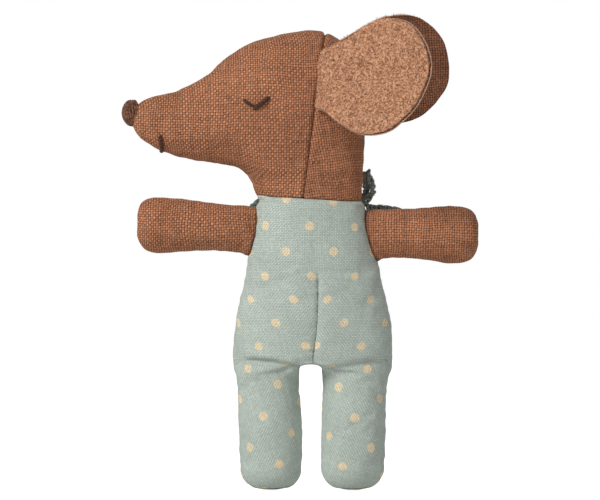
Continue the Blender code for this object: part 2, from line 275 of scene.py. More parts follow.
def crumple(obj, pinned, slack, most):
    """Simulates the stuffed part as cloth under pressure and keeps its wrinkles.

    The cloth is cut slack larger than the form, so it puckers beside the pinned seams. The broad
    swelling is taken off again, so the part keeps its outline, and no point moves further than most.
    """
    rest = body_points(obj)
    obj.data.transform(Matrix.Scale(SIM_SCALE, 4))
    group = obj.vertex_groups.new(name="seams")
    group.add([int(i) for i in np.flatnonzero(pinned)], 1.0, "ADD")
    cloth = obj.modifiers.new("cloth", "CLOTH")
    settings = cloth.settings
    settings.quality = 5
    settings.mass = 0.05
    settings.tension_stiffness = 30
    settings.compression_stiffness = 30
    settings.shear_stiffness = 10
    settings.bending_stiffness = 0.05
    settings.shrink_min = -slack
    settings.use_pressure = True
    settings.uniform_pressure_force = SIM_PRESSURE
    settings.effector_weights.gravity = 0
    settings.vertex_group_mass = "seams"
    cloth.collision_settings.use_collision = False
    cloth.point_cache.frame_start = 1
    cloth.point_cache.frame_end = SIM_FRAMES
    for number in range(1, SIM_FRAMES + 1):
        bpy.context.scene.frame_set(number)
    evaluated = obj.evaluated_get(bpy.context.evaluated_depsgraph_get())
    moved = np.empty(len(rest) * 3)
    evaluated.data.vertices.foreach_get("co", moved)
    obj.modifiers.clear()
    obj.vertex_groups.clear()
    bpy.context.scene.frame_set(1)
    shift = from_axis(moved.reshape(-1, 3) / SIM_SCALE) - rest
    shift -= broad_part(obj, shift)
    length = np.linalg.norm(shift, axis=1)
    shift *= np.minimum(1, most / np.maximum(length, 1e-9))[:, None]
    set_body_points(obj, rest + shift)


# ---------------------------------------------------------------- shader graphs


class Value:
    """A number or vector in a material; arithmetic on it adds the nodes that work it out."""

    def __init__(self, graph, socket):
        self.graph, self.socket = graph, socket

    def __add__(self, other):
        return self.graph.math("ADD", self, other)

    def __mul__(self, other):
        return self.graph.math("MULTIPLY", self, other)

    def __sub__(self, other):
        return self.graph.math("SUBTRACT", self, other)

    def __rsub__(self, other):
        return self.graph.math("SUBTRACT", other, self)

    def __truediv__(self, other):
        return self.graph.math("DIVIDE", self, other)

    __radd__ = __add__
    __rmul__ = __mul__


class Graph:
    """A material's nodes, with short calls for the arithmetic that weaves need."""

    def __init__(self, name):
        self.material = bpy.data.materials.new(name)
        self.material.use_nodes = True
        self.nodes = self.material.node_tree.nodes
        self.links = self.material.node_tree.links
        self.shader = self.nodes["Principled BSDF"]
        self.shader.inputs["Metallic"].default_value = 0.0

    def plug(self, value, socket):
        if isinstance(value, Value):
            self.links.new(value.socket, socket)
        else:
            socket.default_value = value

    def node(self, kind, output, *values, **settings):
        """A new node with its settings, and values plugged into its first sockets."""
        node = self.nodes.new(kind)
        for name, setting in settings.items():
            setattr(node, name, setting)
        for value, socket in zip(values, node.inputs):
            self.plug(value, socket)
        return Value(self, node.outputs[output])

    def math(self, operation, *values):
        return self.node("ShaderNodeMath", 0, *values, operation=operation)

    def ramp(self, value, low, high, to_low=0.0, to_high=1.0):
        """Low and high become to_low and to_high, with a smooth step between them."""
        kind = "ShaderNodeMapRange"
        return self.node(kind, 0, value, low, high, to_low, to_high, interpolation_type="SMOOTHSTEP")

    def noise(self, vector, scale, detail=2.0, roughness=0.5):
        result = self.node("ShaderNodeTexNoise", "Fac")
        inputs = {"Vector": vector, "Scale": scale, "Detail": detail, "Roughness": roughness}
        for name, value in inputs.items():
            self.plug(value, result.socket.node.inputs[name])
        return result

    def random(self, x, y, z=0.0):
        """One random value for each place whose numbers are x, y and z."""
        return self.node("ShaderNodeTexWhiteNoise", "Value", self.vector(x, y, z))

    def vector(self, x, y, z=0.0):
        return self.node("ShaderNodeCombineXYZ", 0, x, y, z)

    def mix(self, share, a, b):
        node = self.nodes.new("ShaderNodeMix")
        node.data_type = "RGBA"
        colours = [socket for socket in node.inputs if socket.type == "RGBA"]
        for value, socket in zip((share, a, b), (node.inputs["Factor"], *colours)):
            self.plug(value, socket)
        return Value(self, next(socket for socket in node.outputs if socket.type == "RGBA"))

    def scaled(self, vector, factor):
        result = self.node("ShaderNodeVectorMath", 0, vector, operation="SCALE")
        self.plug(factor, result.socket.node.inputs["Scale"])
        return result

    def fabric(self):
        """The fabric's own coordinates in millimetres, and the two of them that follow weft and warp."""
        uv = self.node("ShaderNodeUVMap", "UV", uv_map="fabric")
        split = self.node("ShaderNodeSeparateXYZ", 0, uv).socket.node
        return uv, Value(self, split.outputs[0]), Value(self, split.outputs[1])

    def place_in_mm(self):
        """Object coordinates in millimetres."""
        return self.scaled(self.node("ShaderNodeTexCoord", "Object"), 1 / MM)

    def attribute(self, name):
        return self.node("ShaderNodeAttribute", "Fac", attribute_name=name)

    def bump(self, height, depth_mm):
        node = self.nodes.new("ShaderNodeBump")
        node.inputs["Strength"].default_value = 1.0
        node.inputs["Distance"].default_value = depth_mm * MM
        self.plug(height, node.inputs["Height"])
        self.links.new(node.outputs["Normal"], self.shader.inputs["Normal"])

    def finish(self, colour, roughness, sheen=0.0, sheen_tint=(1.0, 1.0, 1.0, 1.0)):
        for name, value in (
            ("Base Color", colour),
            ("Roughness", roughness),
            ("Specular IOR Level", 0.2),
            ("Sheen Weight", sheen),
            ("Sheen Roughness", 0.5),
            ("Sheen Tint", sheen_tint),
        ):
            self.plug(value, self.shader.inputs[name])
        return self.material


def srgb(*levels):
    """A colour given as it looks, in levels from 0 to 255, as the shader's linear one."""
    shares = [level / 255 for level in levels]
    return tuple(c / 12.92 if c <= 0.04 else ((c + 0.055) / 1.055) ** 2.4 for c in shares) + (1.0,)


def plain_weave(graph, u, v, pitch, gap):
    """Height of a plain weave, random values for its yarns and its crossings, and where the warp is on top.

    The height goes from 0 in the holes, whose size is gap, to 1 on the yarns.
    """
    across, up = u / pitch, v / pitch
    sin_u, sin_v = (graph.math("SINE", value * math.pi) for value in (across, up))
    over = graph.ramp(sin_u * sin_v, -0.55, 0.55, -1.0, 1.0)
    warp = graph.ramp(graph.math("ABSOLUTE", sin_u), gap, gap + 0.5) * (over * 0.36 + 0.64)
    weft = graph.ramp(graph.math("ABSOLUTE", sin_v), gap, gap + 0.5) * (over * -0.36 + 0.64)
    is_warp = graph.math("GREATER_THAN", warp, weft)
    warp_number, weft_number = graph.math("FLOOR", across), graph.math("FLOOR", up)
    yarn = is_warp * graph.random(warp_number, 3.0) + (1.0 - is_warp) * graph.random(7.0, weft_number)
    crossing = graph.random(warp_number, weft_number, 1.0)
    return graph.math("MAXIMUM", warp, weft), yarn, crossing, is_warp


def wander(graph, fabric, u, v, amount, scale):
    """Fabric coordinates bent a little, as hand-cut cloth never lies square."""
    elsewhere = graph.node("ShaderNodeVectorMath", 0, fabric, (31.0, 17.0, 5.0), operation="ADD")
    sway, other = (graph.noise(spot, scale, 1.0) - 0.5 for spot in (fabric, elsewhere))
    return sway * amount + u, other * amount + v


def slanted_crown_shade(graph, fabric, u, v, pitch, amount):
    """Slanting lines of painted shade over the weave's crowns, rising on the left and falling on the right.
    """
    across, up = u / pitch, v / pitch
    rising, falling = (graph.math("COSINE", slant * math.pi) for slant in (across - up, across + up))
    sway = (graph.noise(fabric, 0.12, 1.0) - 0.5) * 14.0
    share = graph.ramp(u + sway, -2.5, 2.5)
    return (falling * share + rising * (1.0 - share)) * amount + 1.0


def linen_material(name, shade=1.0):
    graph = Graph(name)
    fabric, u, v = graph.fabric()
    u, v = wander(graph, fabric, u, v, 1.1, 0.16)
    u, v = wander(graph, fabric, u, v, 0.12, 1.6)
    height, yarn, crossing, is_warp = plain_weave(graph, u, v, LINEN_PITCH, 0.06)
    openness = graph.noise(fabric, 0.9) - 0.5
    height = openness * 0.55 + height
    patch = graph.ramp(graph.noise(fabric, 0.12, 3.0), 0.3, 0.7, 0.92, 1.08)
    slub = graph.ramp(graph.noise(graph.vector(u * 0.25, v * 2.2), 1.0), 0.3, 0.7, 0.93, 1.07)
    light = is_warp * 0.24 + crossing * 0.28 + yarn * 0.28 + 0.58
    # Painted shade: slanted lines over the crowns, and shade darkens a whole copy of the cloth for a part
    # that lies in shadow.
    light = light * patch * slub * slanted_crown_shade(graph, fabric, u, v, LINEN_PITCH, 0.10) * shade
    # Painted shade in the weave's holes and a painted highlight on the yarns' crowns, over the yarn's own
    # colour between them.
    yarn_colour = graph.mix(graph.ramp(height, 0.55, 0.98), srgb(*LINEN_MID), srgb(*LINEN_CROWN_HIGHLIGHT))
    colour = graph.mix(graph.ramp(height, 0.06, 0.60), srgb(*LINEN_HOLE_SHADE), yarn_colour)
    # Painted shade: near seams the cloth darkens to 0.35, as the grooves there lie in shadow.
    seam = graph.ramp(graph.attribute("seam"), 0.0, 0.16, 0.35, 1.0)
    graph.bump(height, 0.20)
    return graph.finish(graph.scaled(colour, light * seam), 0.9, 0.04, srgb(235, 200, 170))


def printed_dots(graph, fabric, u, v):
    """1 on the printed dots, which sit on two interleaved grids, and 0 on the plain cotton."""
    nearest = 100.0
    for centre in DOT_CENTRES:
        du, dv = (
            graph.math("WRAP", value - middle, space / 2, -space / 2)
            for value, middle, space in zip((u, v), centre, DOT_SPACING)
        )
        nearest = graph.math("MINIMUM", nearest, graph.math("SQRT", du * du + dv * dv))
    ragged = (graph.noise(fabric, 2.6) - 0.5) * 0.45
    return graph.ramp(nearest + ragged, DOT_RADIUS - DOT_BLUR, DOT_RADIUS + DOT_BLUR, 1.0, 0.0)


def mint_material():
    graph = Graph("mint dotted cotton")
    fabric, u, v = graph.fabric()
    bent_u, bent_v = wander(graph, fabric, u, v, 0.5, 0.15)
    bent_u, bent_v = wander(graph, fabric, bent_u, bent_v, 0.08, 1.4)
    height, yarn, crossing, _ = plain_weave(graph, bent_u, bent_v, COTTON_PITCH, 0.10)
    patch = graph.ramp(graph.noise(fabric, 0.1, 3.0), 0.3, 0.7, 0.96, 1.04)
    light = (crossing * 0.18 + yarn * 0.10 + 0.86) * patch
    # Painted shade in slanting lines over the crowns.
    light = light * slanted_crown_shade(graph, fabric, bent_u, bent_v, COTTON_PITCH, 0.13)
    # Painted shade in the weave's holes, on the plain cotton and on the printed dots.
    cloth = graph.mix(graph.ramp(height, 0.25, 0.85), srgb(*MINT_HOLE_SHADE), srgb(*MINT_HIGH))
    printed = graph.mix(graph.ramp(height, 0.25, 0.75), srgb(*DOT_HOLE_SHADE), srgb(*DOT_CREAM))
    colour = graph.mix(printed_dots(graph, fabric, u, v), cloth, printed)
    # Painted shade: near seams the cloth darkens to 0.40, as the grooves there lie in shadow.
    seam = graph.ramp(graph.attribute("seam"), 0.0, 0.14, 0.40, 1.0)
    graph.bump(height, 0.07)
    return graph.finish(graph.scaled(colour, light * seam), 0.8, 0.08)


def fleece_material():
    graph = Graph("tan fleece")
    place_mm = graph.place_in_mm()
    height = graph.noise(place_mm, 1.9, 3.0, 0.7) + graph.noise(place_mm, 6.0, 2.0, 0.6) * 0.5
    colour = graph.mix(graph.ramp(height, 0.58, 0.82), srgb(*FLEECE_LOW), srgb(*FLEECE_HIGH))
    fleck = graph.ramp(graph.noise(place_mm, 3.1, 1.0), 0.66, 0.74)
    colour = graph.mix(fleck, colour, srgb(*FLEECE_FLECK))
    graph.bump(height, 0.30)
    return graph.finish(colour, 0.95, 0.25, srgb(230, 190, 160))


def yarn_material(name, low, high, scale=4.0):
    graph = Graph(name)
    strands = graph.noise(graph.place_in_mm(), scale, 3.0, 0.7)
    graph.bump(strands, 0.10)
    return graph.finish(graph.mix(graph.ramp(strands, 0.3, 0.7), srgb(*low), srgb(*high)), 0.75, 0.15)


# ---------------------------------------------------------------- measurements of the cloth

LINEN_PITCH = 0.50  # from yarn to yarn
COTTON_PITCH = 0.333
DOT_RADIUS = 0.90
DOT_BLUR = 0.08
DOT_SPACING = (9.4, 10.0)  # of the dots in each of the print's two grids
DOT_CENTRES = ((-0.3, 52.8), (4.4, 57.8))  # one dot of each grid

# Yarn colours; the linen's crown colour is a painted highlight, and the hole colours of linen, mint and dots
# are painted shade.
LINEN_CROWN_HIGHLIGHT = (197, 134, 99)
LINEN_MID = (154, 100, 72)
LINEN_HOLE_SHADE = (38, 17, 10)
MINT_HIGH = (206, 217, 207)
MINT_HOLE_SHADE = (142, 156, 145)
DOT_CREAM = (252, 234, 198)
DOT_HOLE_SHADE = (200, 178, 138)
FLEECE_HIGH = (238, 182, 143)
FLEECE_LOW = (150, 96, 66)
FLEECE_FLECK = (104, 60, 42)


# ---------------------------------------------------------------- yarns and cords


def frames_along(path):
    """Unit tangents and two cross directions along a path, without twist."""
    tangents = np.gradient(path, axis=0)
    tangents /= np.linalg.norm(tangents, axis=1)[:, None]
    side = np.cross(tangents[0], (0.0, 0.0, 1.0))
    if np.linalg.norm(side) < 0.1:
        side = np.cross(tangents[0], (1.0, 0.0, 0.0))
    sides = []
    for tangent in tangents:
        side = side - tangent * (side @ tangent)
        side = side / np.linalg.norm(side)
        sides.append(side)
    sides = np.array(sides)
    return tangents, sides, np.cross(tangents, sides)


def tube(path, radius, sides=7, taper=0.35):
    """Vertices and faces of a round strand with closed, narrowed ends."""
    path = np.asarray(path, float)
    _, across, up = frames_along(path)
    widths = np.full(len(path), float(radius))
    widths[0] = widths[-1] = radius * taper
    angles = np.arange(sides) * 2 * math.pi / sides
    rings = path[:, None] + widths[:, None, None] * (
        np.cos(angles)[None, :, None] * across[:, None] + np.sin(angles)[None, :, None] * up[:, None]
    )
    index = np.arange(len(path) * sides).reshape(len(path), sides)
    turned = np.roll(index, -1, axis=1)
    faces = np.stack([index[:-1], turned[:-1], turned[1:], index[1:]], axis=2).reshape(-1, 4).tolist()
    faces += [index[0][::-1].tolist(), index[-1].tolist()]
    return rings.reshape(-1, 3), faces


def joined(name, strands):
    """One mesh from many (vertices, faces) strands."""
    points, faces, count = [], [], 0
    for strand_points, strand_faces in strands:
        points.append(strand_points)
        faces += [[i + count for i in face] for face in strand_faces]
        count += len(strand_points)
    obj = mesh_object(name, place(np.concatenate(points)), faces)
    point_outwards(obj)
    return obj


def twisted(path, radius, plies=2, pitch=1.3):
    """Strands of a twisted yarn that follows a path."""
    path = even_path(path, 0.16)
    _, across, up = frames_along(path)
    strands = []
    for ply in range(plies):
        angle = 2 * math.pi * (running_length(path) / pitch + ply / plies)
        swing = np.cos(angle)[:, None] * across + np.sin(angle)[:, None] * up
        strands.append(tube(path + radius * 0.5 * swing, radius * 0.56))
    return strands


def surface_tree(obj):
    return BVHTree.FromObject(obj, bpy.context.evaluated_depsgraph_get())


def on_surface(tree, x, z, side, lift):
    """The point over (x, z) that stands lift off a piece; side -1 is the front, 1 the back."""
    start = Vector(place((x, 40.0 * side, z)))
    hit, normal, _, _ = tree.ray_cast(start, Vector((0, -side, 0)))
    return from_axis(hit + normal * lift * MM)


def dress(obj, material, nodes=(), body=None):
    """Material, slot, CAD nodes and body of a finished piece."""
    obj.data.materials.clear()
    obj.data.materials.append(material)
    if nodes:
        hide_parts(*nodes)
    if body:
        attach(obj, body)


# ---------------------------------------------------------------- head

# Ribs of the head: top_x, top_z, low_x, low_z, half_depth, as the frame's head has them
HEAD_RIBS = [
    (-35.6, 76.6, -36.1, 73.8, 1.9),
    (-32.4, 78.5, -34.2, 70.6, 3.3),
    (-26.3, 80.1, -29.4, 67.7, 4.7),
    (-20.8, 83.1, -23.2, 65.9, 6.2),
    (-16.6, 86.9, -18.2, 65.2, 7.4),
    (-9.6, 90.3, -14.8, 64.4, 8.7),
    (1.0, 91.9, -12.9, 62.7, 9.2),
    (7.8, 88.2, -12.4, 61.9, 8.9),
    (11.0, 79.6, -12.1, 61.4, 8.2),
    (10.7, 69.6, -11.8, 60.9, 7.2),
    (10.2, 60.6, -11.6, 60.4, 6.7),
]
FACE_SEAM = ((2.9, 0.0, 92.0), (-1.6, 0.0, 58.5))  # its top and foot
REAR_PANEL_SHIFT = 7.3  # the rear panels are cut from another place of the cloth
NECKLINE = 58.35
NECKLINE_SLOPE = -0.055  # the seam between linen and cotton is lower on the mouse's left
# How far the linen is tucked in under the seam at each height over it
NECK_TUCK = ((1.3, 0.0), (0.8, 0.0), (0.4, 0.03), (0.15, 0.1), (0.0, 0.28), (-0.2, 0.9), (-0.9, 1.5))
NECK_LEFT, NECK_RIGHT, NECK_DEPTH = 10.15, -11.0, 6.65
SNOUT_SWELL = (-1.0, 0.1)  # of the snout's tip beyond its last rib
HEAD_COLUMNS = 88
NAPE_TURN = math.radians(-9)
NAPE_SHIFT = Vector((3.1, 1.7))


def tilt_to_neckline(obj, fade_from, fade_to):
    """Slopes the edge of a part to the neckline, fading out away from it."""
    points = body_points(obj)
    points[:, 2] += NECKLINE_SLOPE * points[:, 0] * smoothstep(fade_from, fade_to, points[:, 2])
    set_body_points(obj, points)


def rib_rings(ribs, columns):
    """Rings of points around ribs, with their middles and half ribs, from the top seam round the front."""
    angles = np.arange(columns) * 2 * math.pi / columns
    top, low, depth = ribs[:, 0:2], ribs[:, 2:4], ribs[:, 4]
    centre, half = (top + low) / 2, (top - low) / 2
    flat = centre[:, None] + half[:, None] * np.cos(angles)[None, :, None]
    y = -depth[:, None] * np.sin(angles)[None]
    return np.stack([flat[..., 0], y, flat[..., 1]], axis=2), centre, half


def rib_uv(rings, centre, half):
    """Fabric points of a part of two panels, each flat as seen from its side and wrapped from there."""
    columns = rings.shape[1]
    length = around(rings)
    direction = half / np.linalg.norm(half, axis=1)[:, None]
    uv = np.empty((len(rings), columns, 2, 2))
    for c in range(columns):
        rear = c >= columns // 2
        middle = length[:, 3 * columns // 4] if rear else length[:, columns // 4]
        for k in (0, 1):
            reach = length[:, c + k] - middle
            reach = reach if rear else -reach
            uv[:, c, k] = centre + direction * reach[:, None] + (REAR_PANEL_SHIFT if rear else 0.0)
    return uv


def rounded_end(rib, swell, steps):
    """Ribs that close a part beyond its last rib, at steps of (share of the swell, size)."""
    middle, half = (rib[0:2] + rib[2:4]) / 2, (rib[0:2] - rib[2:4]) / 2
    ribs = []
    for reach, size in steps:
        centre = middle + np.array(swell) * reach
        ribs.append((*(centre + half * size), *(centre - half * size), rib[4] * size))
    return ribs


def head_mesh():
    ribs = smooth_rows(HEAD_RIBS, 9)
    steps = [(math.sin(angle), math.cos(angle)) for angle in np.radians([80, 60, 40, 20])]
    tip = rounded_end(ribs[0], SNOUT_SWELL, steps)
    neck = []
    for rise, tuck in NECK_TUCK:
        left, right = NECK_LEFT - tuck, NECK_RIGHT - 0.3 * rise + tuck
        neck.append((left, NECKLINE + rise, right, NECKLINE + rise, NECK_DEPTH - tuck))
    rings, centre, half = rib_rings(np.concatenate([tip, ribs, neck]), HEAD_COLUMNS)
    return grid_mesh("head_linen", rings, rib_uv(rings, centre, half), closed_start=True)


def make_head():
    head = head_mesh()
    points = body_points(head)
    top, foot = FACE_SEAM
    seam_x = np.interp(points[:, 2], [foot[2], top[2]], [foot[0], top[0]])
    pinned = (np.abs(points[:, 0] - seam_x) < 0.45) | (np.abs(points[:, 1]) < 0.3)
    pinned |= (points[:, 2] < 59.2) | (points[:, 0] < -34.5)
    crumple(head, pinned, 0.03, 0.10)
    subdivide(head)
    down = Vector(foot) - Vector(top)
    across = Vector((-down.z, 0, down.x)).normalized()
    cut_along(head, top, across, 0.3)
    cut_along(head, (0, 0, 0), (0, 1, 0), 0.25)
    turn_nape_weave(head, Vector(top), across)
    points = body_points(head)
    from_seam = np.abs((points - np.array(top)) @ np.array(across))
    from_middle = np.abs(points[:, 1])
    amount = 0.16 * lumps(points, 5.5, 1) + 0.05 * lumps(points, 1.8, 2)
    amount += 0.10 * bell(from_seam - 0.8, 0.5) - 0.42 * bell(from_seam, 0.28)
    push(head, amount - 0.22 * bell(from_middle, 0.22))
    # Distances for painted shade along the face seam, the middle seam and the neckline, where the linen rolls
    # in.
    from_neckline = np.abs(points[:, 2] - NECKLINE) * 0.5 + 0.06
    add_seam_shade_attribute(head, np.minimum(np.minimum(from_seam, from_middle + 0.05), from_neckline))
    tilt_to_neckline(head, 67.0, 60.0)
    panels = [f"{part}_{side}_panel" for part in ("face", "nape") for side in ("front", "rear")]
    dress(head, LINEN, (*panels, "head_stuffing"))
    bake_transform(head)
    return head


NO_SEAM_SHADE = 2.0  # far enough from a seam not to get its painted shade


def add_seam_shade_attribute(obj, distance):
    """Distance from the nearest seam in millimetres, near which the cloth shaders darken the cloth as painted
    shade in the seam's groove.
    """
    layer = obj.data.attributes.new("seam", "FLOAT", "POINT")
    layer.data.foreach_set("value", np.asarray(distance, np.float32))


def turn_nape_weave(head, point, across):
    """The nape is its own panel, so its weave lies at another angle."""
    layer = head.data.uv_layers["fabric"]
    turn = Matrix.Rotation(NAPE_TURN, 2)
    for face in head.data.polygons:
        centre = Vector(from_axis(face.center))
        if (centre - point).dot(across) * (1 if across.x > 0 else -1) > 0:
            for loop in face.loop_indices:
                layer.data[loop].uv = turn @ layer.data[loop].uv + NAPE_SHIFT


# The eye's two stitches: x, z and height over the cloth, where a yarn end dives into the head
EYE_LEFT_STITCH = (
    (-13.5, 77.9, -0.30),
    (-12.9, 77.5, 0.18),
    (-11.9, 76.9, 0.20),
    (-11.1, 76.5, 0.05),
    (-10.8, 76.3, -0.35),
)
EYE_RIGHT_STITCH = (
    (-11.4, 76.2, -0.35),
    (-10.9, 76.5, 0.25),
    (-10.0, 77.1, 0.38),
    (-9.1, 77.8, 0.30),
    (-8.4, 78.3, -0.30),
)
# The mouth's stitch down the cheek: z and height over the cloth
MOUTH_STITCH = ((70.9, -0.25), (70.5, 0.15), (69.6, 0.28), (68.8, 0.30))
MOUTH_X = -29.85
NOSE_SHIFT = (0.95, 0.0, -0.05)  # of the pad's middle from the middle of the frame's
NOSE_REACH = (2.40, 2.55, 2.80)
NOSE_STITCHES = (19, 16)  # in the lower and the upper layer
NOSE_YARN_RADIUS = 0.25


def make_face(head):
    tree = surface_tree(head)
    for side, where in ((-1, "front"), (1, "rear")):
        strands = []
        for stitch, radius in ((EYE_LEFT_STITCH, 0.36), (EYE_RIGHT_STITCH, 0.52)):
            path = [on_surface(tree, x, z, side, lift) for x, z, lift in stitch]
            strands += twisted(smooth_rows(path, 4), radius)
        eye = joined(f"eye_{where}_yarn", strands)
        dress(eye, EYE_YARN, [f"eye_{where}_stitches"], "head")
    cheek = [on_surface(tree, MOUTH_X - 0.12 * (z - 69), z, -1, lift) for z, lift in MOUTH_STITCH]
    under, normal, _, _ = tree.ray_cast(Vector(place((MOUTH_X, 0, 0))), Vector((0, 0, 1)))
    low = from_axis(under + normal * 0.28 * MM)
    far = [point * (1, -1, 1) for point in reversed(cheek)]
    mouth = joined("mouth_yarn", twisted(smooth_rows([*cheek, low, *far], 4), 0.42))
    dress(mouth, EYE_YARN, ["mouth_stitch"], "head")


def make_nose():
    """Satin stitches side by side over the tip of the snout, from its top to its underside, in two layers."""
    low, high = (from_axis(corner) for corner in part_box("nose_stitches"))
    centre = (low + high) / 2 * (1, 0, 1) + NOSE_SHIFT
    rng = random.Random(NOSE_SEED)
    strands = []
    for layer, count in enumerate(NOSE_STITCHES):
        reach = (np.array(NOSE_REACH) - NOSE_YARN_RADIUS) * (1.0 + 0.05 * layer)
        for i in range(count):
            turn = math.radians(-112 + 224 * (i + 0.5 * layer) / (count - 1) + rng.uniform(-3, 3))
            tilt = Matrix.Rotation(-math.radians(rng.uniform(-7, 7) + 8), 3, "Y")
            path = []
            for angle in np.linspace(-1.30, 1.30, 15):
                x, y = -math.cos(turn) * math.cos(angle), math.sin(turn) * math.cos(angle)
                path.append(centre + np.array(tilt @ Vector((x, y, math.sin(angle)))) * reach)
            strands.append(tube(path, NOSE_YARN_RADIUS * rng.uniform(0.85, 1.2), 6))
    nose = joined("nose_satin_stitches", strands)
    subdivide(nose)
    dress(nose, NOSE_YARN, ["nose_stitches"], "head")


# ---------------------------------------------------------------- ears

# Ribs of each ear in its own plane: distance from the base, upper edge, lower edge
EAR_RIBS = {
    "front_ear": [
        (-0.8, 5.1, -6.3),
        (2.1, 6.0, -7.3),
        (4.8, 7.2, -9.2),
        (7.6, 9.2, -10.9),
        (10.5, 10.8, -12.2),
        (14.3, 11.3, -12.5),
        (17.8, 10.6, -11.4),
        (20.6, 8.8, -8.8),
        (22.5, 6.1, -5.9),
        (23.7, 2.9, -2.8),
        (24.1, 0.5, -0.3),
    ],
    "rear_ear": [
        (-1.2, 5.1, -6.3),
        (1.8, 6.0, -7.3),
        (4.6, 7.2, -8.8),
        (7.5, 8.8, -10.1),
        (11.1, 10.2, -10.8),
        (14.2, 11.2, -11.1),
        (17.1, 11.3, -10.9),
        (19.8, 10.9, -10.2),
        (22.3, 9.5, -8.6),
        (24.3, 7.5, -6.5),
        (25.6, 5.0, -4.8),
        (26.3, 1.2, -3.0),
        (26.4, -0.6, -1.4),
    ],
}
# The rim line's size against the ribs: along the ear, then its upper and its lower edge
EAR_RIM_REACH = {"front_ear": (1.018, 1.012, 1.012), "rear_ear": (1.0, 0.985, 0.985)}
EAR_HALF_HEIGHTS = (11.8, 12.5)  # of the upper and the lower half, where the rim's roll starts from
EAR_NAP = 0.42
EAR_NAP_FIBRES = 7000
EAR_COLUMNS = 72
# The way each ear points from its hinge
EAR_DIRECTION = {"front_ear": (0.863, -0.505, 0.017), "rear_ear": (0.966, 0.236, 0.110)}


def ear_axes(name):
    """Origin and axes of an ear from its hinge: along its length, up its base, and out of its lining."""
    hinge = JOINTS[f"{name}_fold"]
    up = Vector(hinge["axis"]).normalized()
    up = -up if up.z < 0 else up
    along = Vector(EAR_DIRECTION[name])
    along = (along - up * along.dot(up)).normalized()
    out = along.cross(up)
    out = -out if out.y * (-1 if name == "front_ear" else 1) < 0 else out
    return from_axis(hinge["pos_m"]), np.array(along), np.array(up), np.array(out)


def ear_shape(s, t, length):
    """Height out of the ear's plane, s along it and t up it: a shallow cup whose rim rolls back."""
    edge = np.maximum(np.abs(t) / np.where(t > 0, *EAR_HALF_HEIGHTS), s / length)
    cup = (0.009 * (t * t) - 1.0) * smoothstep(1.0, 9.0, s)
    wave = 0.35 * np.sin(s * 0.32 + t * 0.21) + 0.25 * np.sin(t * 0.5 - s * 0.12)
    roll = -0.9 * smoothstep(0.80, 1.02, edge) * smoothstep(6.0, 14.0, s - t * 0.4)
    root = smoothstep(4.0, -1.2, s) * -1.1
    return cup + wave + roll + root


def ear_layer(name, cloth, axes, low, high, stretch=1.0):
    """One layer of the ear between two heights out of its middle sheet, as a closed flat bag."""
    origin, along, up, out = axes
    ribs = smooth_rows(EAR_RIBS[name], 5) * (stretch, 1.0, 1.0)
    length = ribs[-1, 0]
    angles = np.arange(EAR_COLUMNS) * 2 * math.pi / EAR_COLUMNS
    rings, uv = [], []
    for s, top, bottom in ribs:
        t = (top + bottom) / 2 + (top - bottom) / 2 * power_wave(np.cos(angles), 0.8)
        bulge = power_wave(np.sin(angles), 0.35) / 2
        thin = 1 - 0.35 * smoothstep(0.93, 1.0, s / length)
        height = ear_shape(s, t, length) + low + (high - low) * (0.5 + bulge * thin)
        rings.append(origin + along * s + up * t[:, None] + out * height[:, None])
        uv.append(np.column_stack([np.full(EAR_COLUMNS, s), t]))
    uv = np.array(uv)
    pairs = np.stack([uv, np.roll(uv, -1, axis=1)], axis=2)
    layer = grid_mesh(f"{name}_{cloth}", np.array(rings), pairs, closed_start=True, closed_end=True)
    point_outwards(layer)
    subdivide(layer)
    return layer


def ear_rim(name, axes):
    """The line round an ear where lining meets backing, from one end of the base to the other."""
    origin, along, up, out = axes
    ribs = smooth_rows(EAR_RIBS[name], 4) * EAR_RIM_REACH[name]
    outline = [(s, top) for s, top, _ in ribs] + [(s, low) for s, _, low in reversed(ribs[:-1])]
    path = [origin + along * s + up * t + out * (ear_shape(s, t, ribs[-1, 0]) - 0.02) for s, t in outline]
    return even_path(path, 0.5)


def fibres(obj, count, length, radius, facing, seed):
    """Short curved fibres that stand on a mesh where it faces a direction."""
    rng = random.Random(seed)
    faces = [face for face in obj.data.polygons if face.normal.dot(Vector(facing)) > 0.1]
    areas = np.cumsum([face.area for face in faces])
    strands = []
    for _ in range(count):
        face = faces[int(np.searchsorted(areas, rng.random() * areas[-1]))]
        corners = [obj.data.vertices[i].co for i in face.vertices]
        share = [rng.random() for _ in corners]
        start = from_axis(sum((c * w for c, w in zip(corners, share)), Vector()) / sum(share))
        normal = np.array(face.normal)
        side = np.array([rng.gauss(0, 1) for _ in range(3)])
        side -= normal * (side @ normal)
        side /= np.linalg.norm(side)
        curl = np.cross(normal, side) * rng.uniform(-0.6, 0.6)
        reach = length * rng.uniform(0.5, 1.2)
        path = []
        for k in (0.0, 0.35, 0.7, 1.0):
            path.append(start + reach * k * (normal * (1 - 0.45 * k) + (side * 0.9 + curl * k) * 0.9))
        strands.append(tube(path, radius, 3, 0.5))
    return strands


